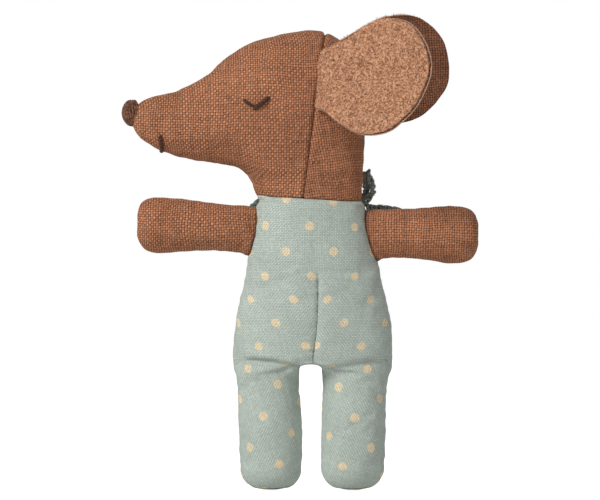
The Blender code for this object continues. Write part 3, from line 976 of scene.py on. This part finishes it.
def make_ear(name, seed):
    axes = ear_axes(name)
    origin, along, _, out = axes
    lining = ear_layer(name, "fleece", axes, 0.02, 0.72)
    backing = ear_layer(name, "linen", axes, -0.55, -0.02, 1.012)
    points = body_points(lining)
    push(lining, 0.13 * lumps(points, 0.75, seed) + 0.10 * lumps(points, 1.6, seed + 1))
    points = body_points(backing)
    push(backing, 0.06 * lumps(points, 2.0, seed + 2))
    add_seam_shade_attribute(backing, np.full(len(points), NO_SEAM_SHADE))
    nap = joined(f"{name}_nap", fibres(lining, EAR_NAP_FIBRES, EAR_NAP, 0.035, out, seed))
    edge = joined(f"{name}_edge", [tube(ear_rim(name, axes), 0.10, 6)])
    # The rear ear's backing takes the linen that is darkened as painted shade.
    for piece, material, slot, nodes in (
        (lining, FLEECE, "tan_fleece", [f"{name}_lining"]),
        (nap, FLEECE_NAP, "tan_fleece", []),
        (backing, LINEN if name == "front_ear" else SHADED_LINEN, "brown_linen", [f"{name}_backing"]),
        (edge, EAR_EDGE, "brown_linen", []),
    ):
        dress(piece, material, nodes)
        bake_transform(piece)


# ---------------------------------------------------------------- body and legs

# Half widths to the mouse's left and right, and half depth, of the body at each height
TORSO_ROWS = [
    (58.6, 10.25, 10.45, 6.75),
    (57.4, 10.5, 10.6, 6.95),
    (55.0, 11.0, 11.1, 7.0),
    (52.0, 11.8, 11.8, 7.15),
    (47.0, 13.0, 12.5, 7.3),
    (43.0, 13.9, 13.1, 7.4),
    (38.0, 15.1, 14.3, 7.6),
    (33.5, 16.0, 15.2, 7.75),
    (29.0, 16.3, 15.7, 7.6),
    (26.6, 16.3, 15.7, 7.2),
    (25.4, 16.2, 15.6, 6.7),
]
# Outer edge, inner edge and half depth at each height, of the mouse's left leg (1) and right leg (-1)
LEG_ROWS = {
    1: [
        (25.4, 16.1, 2.1, 5.9),
        (23.3, 15.7, 2.3, 5.6),
        (19.7, 15.1, 2.3, 5.5),
        (12.0, 14.9, 2.0, 5.6),
        (5.2, 14.6, 1.9, 5.4),
    ],
    -1: [
        (25.4, 15.6, 2.4, 5.9),
        (23.3, 15.3, 2.5, 5.6),
        (19.7, 14.8, 2.3, 5.5),
        (12.0, 14.5, 1.8, 5.6),
        (5.2, 14.3, 1.8, 5.4),
    ],
}
# The cotton's upper edge: height over the neckline and how far it is tucked in there
COLLAR_ROLL = ((-0.25, 1.4), (0.02, 0.5), (-0.06, 0.15), (-0.3, 0.03), (-0.7, 0.0))
COLLAR_HALF_WIDTH, COLLAR_HALF_DEPTH = 10.4, 7.0
ROW_STEP = 0.66
CROTCH_Z = 25.4
CROTCH_STEPS = (0.0, 0.1, 0.3, 0.6, 1.0, 1.5, 2.1)  # depths of the close rows under the crotch
ARCH_HEIGHT = 1.5  # of the rounded top of the gap between the legs
ARCH_SQUARENESS = 3.6
LEG_CENTRE = 0.535  # where each leg's middle meets the body, as a share of the body's half width
FOOT_HEIGHT = 5.2
FOOT_SQUARENESS = 2.4
SOLE_CURVE = 1.08  # length over the foot's rounding against the straight distance
OUTER_COLUMNS = 50  # round a leg's outside, from the middle of the front to the middle of the back
INNER_COLUMNS = 14
INMOST_COLUMN = OUTER_COLUMNS + INNER_COLUMNS // 2
OUTMOST_COLUMN = OUTER_COLUMNS // 2
FRONT_COLUMN = OUTER_COLUMNS // 4 + 1  # the middle of a leg's front
DART_TOP = (1.3, 44.0)
DART_FOOT = (0.2, 25.4)
DART_BOW = 0.45
DART_TAKE_UP = 0.25  # cloth that each side of the dart loses for each millimetre under its top
DART_LIFT = 0.08


def interpolated(rows, z):
    rows = np.asarray(rows)[::-1]
    return [np.interp(z, rows[:, 0], rows[:, i]) for i in range(1, rows.shape[1])]


def torso_reach(a, b, cx, angle):
    """Distance from (cx, 0) to the body's ellipse in a direction."""
    c, s = math.cos(angle), math.sin(angle)
    qa = c * c / (a * a) + s * s / (b * b)
    qb = 2 * cx * c / (a * a)
    qc = cx * cx / (a * a) - 1
    return (-qb + math.sqrt(qb * qb - 4 * qa * qc)) / (2 * qa)


def rounding(share, squareness):
    """Size left at a share of the way into a rounded end: 1 at its start and before, 0 at its end."""
    return (1 - np.clip(share, 0, 1) ** squareness) ** (1 / squareness)


def pants_angles(beta):
    """Angles of the columns round a leg's outside and inside; beta is half the angle of the inside."""
    outer = np.linspace(-(math.pi - beta), math.pi - beta, OUTER_COLUMNS + 1)
    inner = np.linspace(math.pi - beta, math.pi + beta, INNER_COLUMNS + 1)[1:-1]
    return outer, inner


def body_row(z, side):
    left, right, depth = interpolated(BODY_TABLE, z)
    a = left if side > 0 else right
    cx = LEG_CENTRE * a
    outer, _ = pants_angles(math.atan2(depth, cx))
    points = []
    for angle in outer:
        r = torso_reach(a, depth, cx, angle)
        points.append((side * (cx + r * math.cos(angle)), r * math.sin(angle), z))
    points[0] = (0.0, -depth, z)
    points[-1] = (0.0, depth, z)
    return points


def leg_row(z, side):
    """One ring of a leg; near the crotch it opens from the body's half section."""
    left, right, depth = interpolated(BODY_TABLE, max(z, CROTCH_Z - 0.01))
    a = left if side > 0 else right
    outer_x, inner_x, leg_depth = interpolated(LEG_TABLE[side], max(z, FOOT_HEIGHT))
    cx_leg, cx_body = (outer_x + inner_x) / 2, LEG_CENTRE * a
    shrink = rounding((FOOT_HEIGHT - z) / FOOT_HEIGHT, FOOT_SQUARENESS)
    half, leg_depth = (outer_x - inner_x) / 2 * shrink, leg_depth * shrink
    body = smoothstep(CROTCH_Z - 2.6, CROTCH_Z, z)
    wall = inner_x * rounding(1 - (CROTCH_Z - z) / ARCH_HEIGHT, ARCH_SQUARENESS)
    outer, inner = pants_angles(math.atan2(depth, cx_body))
    points = []
    for angle in list(outer) + list(inner):
        c, s = math.cos(angle), math.sin(angle)
        r_leg = 1 / math.sqrt((c / half) ** 2 + (s / leg_depth) ** 2)
        r_body = torso_reach(a, depth, cx_body, angle)
        if c < 0:
            r_body = min(r_body, cx_body / -c)
        x = (cx_leg + r_leg * c) * (1 - body) + (cx_body + r_body * c) * body
        y = r_leg * s * (1 - body) + r_body * s * body
        points.append((side * max(x, wall), y, z))
    if z == CROTCH_Z:
        for k in range(1, INNER_COLUMNS):
            points[OUTER_COLUMNS + k] = (0.0, depth * (1 - 2 * k / INNER_COLUMNS), z)
    return points


def pants_uv(points, side):
    """Lengths along one row for its front, its back and its inner front, each from the panel's middle."""
    points = np.asarray(points)
    length = running_length(np.concatenate([points, points[:1]]))
    on_leg = 1 - smoothstep(24.0, 30.0, points[0, 2])
    front, back = FRONT_COLUMN, OUTER_COLUMNS - FRONT_COLUMN
    offset = (abs(points[front, 0]) - length[front]) * on_leg
    behind = length[OUTER_COLUMNS] * (1 - on_leg) + (abs(points[back, 0]) + length[back]) * on_leg
    return side * (length + offset), side * (behind - length), side * (length - length[-1] + offset)


# One dot on each leg's front, its place on the printed cloth, and how the leg's cloth is turned
LEG_PRINT = {
    1: (Vector((5.3, 20.7)), Vector((13.8, 17.8)), math.radians(14)),
    -1: (Vector((-6.6, 21.2)), Vector((-14.4, 17.8)), math.radians(-18)),
}
BACK_PRINT = {1: Vector((2.6, 3.4)), -1: Vector((2.6, 1.2))}  # shifts of the two back panels


def printed_place(uv, front, side):
    """Where the cloth at a length and a height lies on the flat printed cotton."""
    if not front:
        return uv + BACK_PRINT[side]
    below = max(0.0, DART_TOP[1] - uv.y)
    body = uv + Vector((side * DART_TAKE_UP, -DART_LIFT)) * below
    dot, twin, turn = LEG_PRINT[side]
    leg = twin + Matrix.Rotation(turn, 2) @ (uv - dot)
    crease = 24.6 + 1.4 * smoothstep(3.0, 12.0, abs(uv.x))
    return leg.lerp(body, float(smoothstep(crease - 0.7, crease + 0.7, uv.y)))


def print_cotton(pants):
    """Turns the lengths in the fabric map into places on the printed cloth, panel by panel."""
    layer = pants.data.uv_layers["fabric"]
    for face in pants.data.polygons:
        x, y, z = from_axis(face.center)
        side = 1 if x > (dart_x(z) if y < 0 else 0.0) else -1
        for loop in face.loop_indices:
            layer.data[loop].uv = printed_place(layer.data[loop].uv, y < 0, side)


def dart_x(z):
    """Where the dart's stitching runs, at each height, before it is bowed."""
    return np.interp(z, [DART_FOOT[1], DART_TOP[1]], [DART_FOOT[0], DART_TOP[0]])


def sole_uv(row, top, top_uv):
    """Fabric points of a ring under the foot, where each panel comes straight down to the sole's seam."""
    row, top = np.abs(np.asarray(row)), np.abs(np.asarray(top))
    front = list(range(INMOST_COLUMN, len(top))) + list(range(OUTMOST_COLUMN + 1))
    front_u = np.r_[top_uv[2][INMOST_COLUMN : len(top)], top_uv[0][: OUTMOST_COLUMN + 1]]
    back = list(range(INMOST_COLUMN, OUTMOST_COLUMN - 1, -1))
    x, y, z = *np.concatenate([row, row[:1]]).T[:2], row[0, 2]
    u = np.interp(x, top[front, 0], front_u)
    behind = np.interp(x, top[back, 0], top_uv[1][back])
    inwards = np.interp(x, top[front, 0], top[front, 1]) - y
    return (u, behind, u), FOOT_HEIGHT - SOLE_CURVE * np.hypot(FOOT_HEIGHT - z, inwards)


class Sheet:
    """Rows of points gathered into one mesh, with fabric points for the corners of each face."""

    def __init__(self):
        self.points, self.faces, self.corners = [], [], []

    def add_face(self, face, corners, side):
        self.faces.append(face[::side])
        self.corners.append(corners[::side])

    def add_rows(self, rows, uvs, heights, side, closed):
        """Rows of one side, joined to each other and, if closed, round the leg and over its sole."""
        width = len(rows[0])
        index = np.arange(len(rows) * width).reshape(len(rows), width) + len(self.points)
        for row in rows:
            self.points.extend(row)
        for r in range(len(rows) - 1):
            for c in range(width if closed else width - 1):
                panel = 0 if c < OUTMOST_COLUMN else (1 if c < INMOST_COLUMN else 2)
                spots = ((r, c), (r, c + 1), (r + 1, c + 1), (r + 1, c))
                corners = [(uvs[i][panel][j], heights[i][j]) for i, j in spots]
                self.add_face([index[i, j % width] for i, j in spots], corners, side)
        if closed:
            corners = [(uvs[-1][0][c], heights[-1][c]) for c in range(width)]
            self.add_face(list(index[-1]), corners, side)


def body_rows(side):
    """Rows of half the body, from the collar's tucked edge down to the crotch."""
    heights = [NECKLINE + rise for rise, _ in COLLAR_ROLL]
    rows = [body_row(z, side) for z in (*heights, *np.arange(NECKLINE - 1.2, CROTCH_Z + 0.3, -ROW_STEP))]
    for i, (_, tuck) in enumerate(COLLAR_ROLL):
        narrow, thin = 1 - tuck / COLLAR_HALF_WIDTH, 1 - tuck / COLLAR_HALF_DEPTH
        rows[i] = [(x * narrow, y * thin, z) for x, y, z in rows[i]]
    return rows + [leg_row(CROTCH_Z, side)[: OUTER_COLUMNS + 1]]


def leg_rows(side):
    """Rows of a leg from the crotch down, and the number of the row where its foot begins."""
    below = [CROTCH_Z - depth for depth in CROTCH_STEPS]
    straight = np.arange(CROTCH_Z - 2.7, FOOT_HEIGHT, -ROW_STEP)
    foot = FOOT_HEIGHT * (1 - np.sin(np.radians(np.linspace(0, 84, 12))))
    return [leg_row(z, side) for z in (*below, *straight, *foot)], len(below) + len(straight)


def make_pants():
    """Body and legs as one sheet: body rows, then each leg's rows, welded at the crotch."""
    sheet = Sheet()
    for side in (1, -1):
        rows = body_rows(side)
        heights = [np.full(len(row) + 1, row[0][2]) for row in rows]
        sheet.add_rows(rows, [pants_uv(row, side) for row in rows], heights, side, closed=False)
        rows, top = leg_rows(side)
        uvs = [pants_uv(row, side) for row in rows]
        heights = [np.full(len(row) + 1, row[0][2]) for row in rows]
        for i in range(top + 1, len(rows)):
            uvs[i], heights[i] = sole_uv(rows[i], rows[top], uvs[top])
        sheet.add_rows(rows, uvs, heights, side, closed=True)
    pants = mesh_object("body_cotton", place(sheet.points), sheet.faces, sheet.corners)
    bm = bmesh.new()
    bm.from_mesh(pants.data)
    bmesh.ops.remove_doubles(bm, verts=bm.verts, dist=0.02 * MM)
    bmesh.ops.dissolve_degenerate(bm, dist=0.001 * MM, edges=bm.edges)
    bmesh.ops.recalc_face_normals(bm, faces=bm.faces)
    bm.to_mesh(pants.data)
    bm.free()
    return pants


def split_pants(pants):
    """Body, left leg and right leg from the one sheet, parted where the legs still follow the body."""
    pieces = []
    for name, keep in (("body", 0), ("left_leg", 1), ("right_leg", -1)):
        obj = bpy.data.objects.new(f"{name}_cotton_skin", pants.data.copy())
        bpy.context.scene.collection.objects.link(obj)
        bm = bmesh.new()
        bm.from_mesh(obj.data)
        doomed = []
        for face in bm.faces:
            x, _, z = from_axis(face.calc_center_median())
            if keep != (0 if z > SPLIT_Z else (1 if x > 0 else -1)):
                doomed.append(face)
        bmesh.ops.delete(bm, geom=doomed, context="FACES")
        bm.to_mesh(obj.data)
        bm.free()
        pieces.append(obj)
    bpy.data.objects.remove(pants)
    return pieces


SPLIT_Z = 28.0
LIMB_NODES = ("front_panel", "back_panel", "stuffing")
# Creases over the front of the legs: (x, z) path, depth, width
LEG_FOLDS = (
    ([(-14.6, 26.1), (-11.5, 26.0), (-8.0, 25.7), (-4.6, 25.0), (-2.0, 24.6)], 0.75, 0.55),
    ([(-8.6, 23.6), (-6.0, 23.9), (-3.4, 24.6), (-2.2, 25.0)], 0.45, 0.45),
    ([(14.2, 26.2), (10.5, 25.6), (6.5, 24.9), (2.2, 24.9)], 0.38, 0.60),
    ([(2.2, 24.5), (5.2, 23.7), (9.6, 23.6)], 0.40, 0.45),
)
BACK_FOLD = [(-14.5, 25.4), (-7, 24.9), (0, 25.3), (7, 24.9), (14.5, 25.4)]


def leg_creases(points, front, back):
    """The creases where the legs leave the body, as heights over the cloth."""
    flat = points[:, [0, 2]]
    amount = np.zeros(len(points))
    for path, depth, width in LEG_FOLDS:
        distance, along = path_distance(flat, path)
        fade = smoothstep(0, 0.25, along) * smoothstep(1.0, 0.75, along)
        fold = 0.35 * bell(distance - 1.3, 0.8) - bell(distance, width)
        amount += np.where(front, depth * fold * fade, 0)
    distance, _ = path_distance(flat, BACK_FOLD)
    return amount + np.where(back, -0.5 * bell(distance, 0.6), 0)


def dart_pucker(z, from_dart, open_up):
    """The dart's groove, which its stitches bite into unevenly, and the puckers beside it."""
    pucker = np.sin(z * 3.1 + 1.3 * np.sin(z * 0.9)) * np.exp(-from_dart / 1.3) * 0.13
    bite = 1 + 0.35 * np.sin(z * 2 * math.pi / 1.15) + 0.25 * np.sin(z * 2.3)
    groove = -0.45 * bite * bell(from_dart, 0.24) - 0.26 * bell(from_dart, 1.4)
    return (groove + pucker * smoothstep(0.0, 0.5, from_dart)) * open_up


def shape_pants(pants):
    """Lumps, creases, dart, seams and collar of the cotton, and where painted shade darkens it along the
    seams.
    """
    points = body_points(pants)
    x, y, z = points.T
    facing = vertex_normals(pants)[:, 1]
    front, back = facing < -0.35, facing > 0.35
    from_dart, from_middle, from_side_seam = np.abs(x - dart_x(z)), np.abs(x), np.abs(y)
    in_dart = front & (z < DART_TOP[1] + 0.3) & (z > DART_FOOT[1] + 0.1)
    open_up = smoothstep(DART_TOP[1] + 0.3, DART_TOP[1] - 2.5, z)
    amount = 0.14 * lumps(points, 6.0, 3) + 0.05 * lumps(points, 2.0, 4) + leg_creases(points, front, back)
    amount += np.where(in_dart, dart_pucker(z, from_dart, open_up), 0)
    back_seam = 0.08 * np.sin(z * 2.7) * np.exp(-from_middle / 1.2) - 0.45 * bell(from_middle, 0.4)
    amount += np.where(back & (z > CROTCH_Z + 0.2), back_seam, 0)
    collar = 0.55 * bell(z - 58.4, 0.5) - 0.25 * bell(z - 57.2, 0.6)
    amount += collar * smoothstep(-8.0, -10.0, x)
    amount -= 0.20 * bell(from_side_seam, 0.3) * (from_middle > 1.5)
    push(pants, amount)
    # Distances for painted shade along the dart, the back seam, the side seams and the neckline.
    dart_line = np.where(in_dart, from_dart + 0.10 * (1 - open_up), NO_SEAM_SHADE)
    back_line = np.where(back & (z > CROTCH_Z), from_middle, NO_SEAM_SHADE)
    lines = np.minimum(np.minimum(dart_line, back_line), from_side_seam + 0.06)
    add_seam_shade_attribute(pants, np.minimum(lines, np.abs(z - NECKLINE) * 0.5 + 0.07))
    bow_dart(pants)
    tilt_to_neckline(pants, 50.0, 57.0)


def dart_height(z):
    """Share of the way up the dart."""
    return np.clip((z - DART_FOOT[1]) / (DART_TOP[1] - DART_FOOT[1]), 0, 1)


def bow_dart(pants):
    """Bends the cloth beside the dart, whose stitching bows to the mouse's left."""
    points = body_points(pants)
    near = bell(points[:, 0] - dart_x(points[:, 2]), 3.0) * (points[:, 1] < 0)
    points[:, 0] += DART_BOW * np.sin(math.pi * dart_height(points[:, 2])) * near
    set_body_points(pants, points)


def pinned_to_seams(points):
    """Where the cotton is held while it is inflated: collar, seams, dart and the middle of the soles."""
    x, y, z = points.T
    in_dart = (y < 0) & (z < DART_TOP[1]) & (z > 25) & (np.abs(x - dart_x(z)) < 0.45)
    back_seam = (y > 0) & (z > 25) & (np.abs(x) < 0.4)
    side_seams = (np.abs(y) < 0.35) & (np.abs(x) > 1.5)
    return in_dart | back_seam | side_seams | (z > 58.0) | (z < 0.6)


def make_body():
    pants = make_pants()
    crumple(pants, pinned_to_seams(body_points(pants)), 0.04, 0.20)
    subdivide(pants)
    cut_along(pants, (0, 0, 0), (0, 1, 0), 0.25)
    rise, run = DART_TOP[1] - DART_FOOT[1], DART_TOP[0] - DART_FOOT[0]
    cut_along(pants, (DART_TOP[0], 0, DART_TOP[1]), (rise, 0, -run), 0.22)
    print_cotton(pants)
    shape_pants(pants)
    points = body_points(pants)
    points[:, 2] = np.maximum(points[:, 2], 0.0)
    set_body_points(pants, points)
    body, *legs = split_pants(pants)
    panels = [f"torso_{panel}_panel" for panel in ("front", "back_left", "back_right")]
    dress(body, MINT, (*panels, "torso_stuffing"), "torso")
    for side, leg in zip(("left", "right"), legs):
        dress(leg, MINT, [f"{side}_leg_{part}" for part in LIMB_NODES])
        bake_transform(leg)
    return body


# ---------------------------------------------------------------- arms

ARM_RIBS = {
    "left": [
        (9.9, 56.0, 12.1, 45.4, 2.4),
        (10.9, 55.9, 13.0, 45.7, 2.9),
        (12.6, 56.1, 14.6, 46.4, 3.4),
        (16.0, 56.3, 17.4, 46.5, 3.9),
        (21.0, 56.4, 21.6, 46.2, 4.3),
        (27.6, 56.9, 27.4, 45.4, 4.5),
    ],
    "right": [
        (-11.8, 46.9, -10.2, 56.5, 2.4),
        (-12.8, 46.9, -11.3, 56.6, 2.9),
        (-14.6, 47.5, -13.2, 57.0, 3.4),
        (-18.0, 47.9, -17.0, 57.2, 3.9),
        (-23.0, 48.0, -22.6, 57.9, 4.3),
        (-28.8, 47.5, -29.0, 58.6, 4.5),
    ],
}
HAND_SQUARENESS = 3.4
HAND_REACH = 5.9  # of the rounded hand beyond the last rib
ARM_BEND = (-2.2, 3.0)  # distances from the hinge, out along the arm, of the places start and end
ARM_COLUMNS = 48


def unrolled(centre, depth, first):
    """Middles of rings laid out by length over the swell of a rounded end, from ring number first on."""
    flat = centre.copy()
    for i in range(first, len(centre)):
        step = centre[i] - centre[i - 1]
        length = np.linalg.norm(step)
        flat[i] = flat[i - 1] + step * math.hypot(length, depth[i] - depth[i - 1]) / length
    return flat


def arm_mesh(side, toward):
    ribs = smooth_rows(ARM_RIBS[side], 6)
    steps = [(t, rounding(t, HAND_SQUARENESS)) for t in np.sin(np.radians(np.linspace(8, 86, 12)))]
    wrist = len(ribs)
    ribs = np.concatenate([ribs, rounded_end(ribs[-1], (toward * HAND_REACH, 0), steps)])
    rings, centre, half = rib_rings(ribs, ARM_COLUMNS)
    centre = unrolled(centre, ribs[:, 4], wrist)
    arm = grid_mesh(f"{side}_arm_linen", rings, rib_uv(rings, centre, half), True, True)
    point_outwards(arm)
    return arm


def make_arm(side):
    toward = 1 if side == "left" else -1
    arm = arm_mesh(side, toward)
    points = body_points(arm)
    crumple(arm, (np.abs(points[:, 1]) < 0.3) | (np.abs(points[:, 0]) < 12.0), 0.03, 0.12)
    subdivide(arm)
    cut_along(arm, (0, 0, 0), (0, 1, 0), 0.25)
    points = body_points(arm)
    from_seam = np.abs(points[:, 1])
    amount = 0.16 * lumps(points, 4.5, 5 + toward) + 0.05 * lumps(points, 1.6, 9)
    push(arm, amount - 0.20 * bell(from_seam, 0.22))
    # Painted shade along the arm's seam and where the arm meets the body, darker the nearer the cloth is to
    # the body's side.
    left, right, depth = interpolated(BODY_TABLE, points[:, 2])
    width = left if side == "left" else right
    body_side = width * np.sqrt(np.clip(1 - (points[:, 1] / depth) ** 2, 0, 1))
    root = np.clip(np.abs(points[:, 0]) - body_side, 0, None) * 0.16 + 0.02
    add_seam_shade_attribute(arm, np.minimum(from_seam + 0.05, root))
    dress(arm, LINEN, [f"{side}_arm_{part}" for part in LIMB_NODES])
    hinge = JOINTS[f"{side}_arm_swing"]
    out = Vector(hinge["axis"]).normalized().cross(Vector((0, 1, 0)))
    out = out if out.x * toward > 0 else -out
    start, end = (Vector(hinge["pos_m"]) + out * reach * MM for reach in ARM_BEND)
    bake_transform(arm)


# ---------------------------------------------------------------- tail

TAIL_LOWER_PATH = [
    (0.0, 8.1, 33.2),
    (0.6, 9.2, 35.0),
    (1.8, 9.2, 38.5),
    (0.6, 9.2, 45.0),
    (-5.0, 8.9, 51.0),
    (-10.2, 7.4, 54.8),
    (-11.4, 6.4, 56.6),
    (-9.6, 7.2, 58.1),
    (-4.0, 8.7, 59.6),
]
TAIL_UPPER_PATH = [
    (-4.4, 8.6, 59.6),
    (1.0, 8.9, 59.6),
    (7.0, 8.2, 59.2),
    (10.1, 7.2, 58.6),
    (11.0, 6.9, 60.0),
    (10.9, 6.7, 61.6),
    (10.7, 6.5, 62.9),
    (11.2, 6.1, 63.4),
    (11.8, 5.9, 62.4),
    (12.2, 5.7, 61.1),
    (12.3, 5.6, 59.8),
    (11.7, 5.5, 58.8),
    (10.9, 5.5, 57.9),
    (11.1, 5.6, 56.8),
    (12.5, 6.2, 56.5),
    (15.1, 7.0, 56.4),
    (18.3, 7.8, 56.0),
]
# Name, the body it comes from, path, seed, and two places near its start, where it leaves that body
TAIL_LENGTHS = (
    ("tail_lower", "torso", TAIL_LOWER_PATH, 3, (0.0, 9.2, 33.1), (0.0, 9.2, 35.3)),
    ("tail_upper", "tail_lower", TAIL_UPPER_PATH, 4, (-4.6, 8.8, 59.6), (0.0, 8.8, 59.6)),
)
CHAIN_PITCH = 0.95
LOOP_HALF_LENGTH, LOOP_HALF_WIDTH = 0.95, 0.56
LOOP_YARN_RADIUS = 0.32
STEPS_PER_LINK = 8
TAIL_HAIRS = 420


def chain(path, frames, seed):
    """Crocheted chain: each loop passes through the one before it."""
    rng = random.Random(seed)
    strands = []
    angles = np.linspace(0, 2 * math.pi, 17)[:, None]
    cos, sin = np.cos(angles), np.sin(angles)
    for link in range((len(path) - 1) // STEPS_PER_LINK):
        tangent, across, up = (axes[link * STEPS_PER_LINK] for axes in frames)
        roll = rng.uniform(-0.5, 0.5) + 0.35 * math.sin(link * 0.7)
        wide = across * math.cos(roll) + up * math.sin(roll)
        loop = path[link * STEPS_PER_LINK] + tangent * (0.35 + LOOP_HALF_LENGTH * cos)
        loop += wide * LOOP_HALF_WIDTH * sin * (1.0 + 0.25 * cos)
        loop += np.cross(tangent, wide) * (0.30 * cos - 0.14 * np.cos(2 * angles))
        strands.append(tube(loop, LOOP_YARN_RADIUS * rng.uniform(0.92, 1.1), 6, 1.0))
    return strands


def hairs(path, frames, seed):
    """Loose fibres that stand off a cord."""
    rng = random.Random(seed)
    strands = []
    for _ in range(TAIL_HAIRS):
        at = rng.randrange(len(path))
        tangent, across, up = (axes[at] for axes in frames)
        angle = rng.uniform(0, 2 * math.pi)
        out = across * math.cos(angle) + up * math.sin(angle)
        start = path[at] + out * 0.55
        lean = tangent * rng.uniform(-0.6, 0.6)
        reach = rng.uniform(0.20, 0.45)
        bend, tip = start + (out * 0.6 + lean) * reach * 0.6, start + (out + lean * 1.8) * reach
        strands.append(tube([start, bend, tip], 0.03, 3))
    return strands


def make_tail():
    """Two lengths of cord; the first comes out of the back seam, the second out of the first."""
    for name, before, path, seed, start, end in TAIL_LENGTHS:
        path = even_path(smooth_rows(path, 12), CHAIN_PITCH / STEPS_PER_LINK)
        frames = frames_along(path)
        cord = joined(f"{name}_chain", chain(path, frames, seed) + hairs(path, frames, seed))
        dress(cord, CORD, [f"{name}_cord"])
        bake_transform(cord)


# ---------------------------------------------------------------- stitches on the cotton


def make_stitches(body):
    """The ladder stitches that close the back, and the specks of thread in the dart."""
    tree = surface_tree(body)
    bars, specks = [], []
    for z in np.arange(48.6, 39.2, -1.15):
        bar = [on_surface(tree, x, z + dz, 1, 0.05) for x, dz in ((-0.55, 0.0), (0.0, 0.12), (0.55, 0.25))]
        bar[1][1] += 0.16
        bars.append(tube(bar, 0.12, 6))
    for z in np.arange(43.2, 28.4, -0.9):
        x = dart_x(z) + DART_BOW * math.sin(math.pi * dart_height(z))
        steps = ((-0.22, 0.05), (0.0, 0.0), (0.22, -0.05))
        specks.append(tube([on_surface(tree, x + dx, z + dz, -1, -0.04) for dx, dz in steps], 0.075, 5))
    for where, strands in (("back_closing", bars), ("belly_dart", specks)):
        thread = joined(f"{where}_stitches", strands)
        dress(thread, MINT_THREAD, [f"{where}_thread"], "torso")


# ---------------------------------------------------------------- stage

WHITE = (1.0, 1.0, 1.0, 1.0)
FLOOR_REACH = 3.0  # metres
FLOOR_DEPTH = 0.00002  # metres under the soles
FLOOR_COLOUR = (0.80, 0.80, 0.80, 1.0)
FLOOR_GLOW = 0.86  # keeps the floor near white, with only a faint shadow
WORLD_LIGHT = 0.20
# Name, place in metres, size in metres and watts
LIGHTS = (
    ("key", (-0.65, -0.75, 0.70), 0.50, 9.5),
    ("fill", (0.9, -0.9, 0.30), 0.9, 1.3),
    ("back", (0.5, 1.0, 0.8), 0.8, 5.0),
)
LIGHT_TARGET = (0.0, 0.0, 0.05)
CAMERA_DISTANCE = 1.2  # metres
CAMERA_HEIGHT = 0.0481
PICTURE_WIDTH = 0.120  # metres across the picture at the mouse
SENSOR_WIDTH = 36


def seen_by_camera(tree, ordinary, seen, socket):
    """Gives a socket one strength for light in the scene and another for what the camera sees directly."""
    path = tree.nodes.new("ShaderNodeLightPath")
    choice = tree.nodes.new("ShaderNodeMapRange")
    tree.links.new(path.outputs["Is Camera Ray"], choice.inputs["Value"])
    choice.inputs["To Min"].default_value = ordinary
    choice.inputs["To Max"].default_value = seen
    tree.links.new(choice.outputs[0], socket)


def in_scene(name, data):
    obj = bpy.data.objects.new(name, data)
    bpy.context.scene.collection.objects.link(obj)
    return obj


def make_stage():
    angles = np.radians(range(0, 360, 5))
    rim = [(FLOOR_REACH * math.cos(a), FLOOR_REACH * math.sin(a), -FLOOR_DEPTH) for a in angles]
    disc = bpy.data.meshes.new("floor")
    disc.from_pydata(rim, [], [list(range(len(rim)))])
    pale = Graph("pale floor")
    pale.shader.inputs["Emission Color"].default_value = WHITE
    seen_by_camera(pale.material.node_tree, 0.0, FLOOR_GLOW, pale.shader.inputs["Emission Strength"])
    disc.materials.append(pale.finish(FLOOR_COLOUR, 0.9))
    in_scene("floor", disc)


def make_lights():
    for name, spot, size, watts in LIGHTS:
        data = bpy.data.lights.new(name, "AREA")
        data.size = size
        data.energy = watts
        light = in_scene(name, data)
        light.location = spot
        light.rotation_euler = (Vector(LIGHT_TARGET) - Vector(spot)).to_track_quat("-Z", "Y").to_euler()
    world = bpy.context.scene.world or bpy.data.worlds.new("studio")
    bpy.context.scene.world = world
    world.use_nodes = True
    background = world.node_tree.nodes["Background"]
    background.inputs["Color"].default_value = WHITE
    seen_by_camera(world.node_tree, WORLD_LIGHT, 1.0, background.inputs["Strength"])
    bpy.context.scene.view_settings.view_transform = "Standard"


def make_camera():
    data = bpy.data.cameras.new("camera")
    data.sensor_width = SENSOR_WIDTH
    data.lens = SENSOR_WIDTH * CAMERA_DISTANCE / PICTURE_WIDTH
    data.clip_end = 10
    camera = in_scene("camera", data)
    camera.location = (0, AXIS.y * MM - CAMERA_DISTANCE, CAMERA_HEIGHT)
    camera.rotation_euler = (math.radians(90), 0, 0)
    bpy.context.scene.camera = camera


# ---------------------------------------------------------------- build

BODY_TABLE = smooth_rows(TORSO_ROWS, 6)
LEG_TABLE = {side: smooth_rows(rows, 6) for side, rows in LEG_ROWS.items()}

LINEN = linen_material("brown linen")
# Linen darkened to 0.55 as painted shade, for the rear ear, which the front ear shades.
SHADED_LINEN = linen_material("brown linen of the rear ear", 0.55)
MINT = mint_material()
FLEECE = fleece_material()
FLEECE_NAP = yarn_material("fleece nap", FLEECE_LOW, FLEECE_HIGH, 2.0)
NOSE_YARN = yarn_material("dark brown yarn", (54, 32, 21), (156, 108, 80), 2.2)
EYE_YARN = yarn_material("brown eye yarn", (56, 32, 22), (112, 72, 50))
CORD = yarn_material("grey green cord", (84, 96, 92), (176, 188, 178))
MINT_THREAD = yarn_material("mint thread", (120, 135, 122), (165, 178, 165))
EAR_EDGE = yarn_material("ear edge", (170, 135, 112), (214, 186, 166))

make_face(make_head())
make_nose()
for ear, ear_seed in (("front_ear", 11), ("rear_ear", 23)):
    make_ear(ear, ear_seed)
make_stitches(make_body())
for arm_side in ("left", "right"):
    make_arm(arm_side)
make_tail()
make_stage()
make_lights()
make_camera()
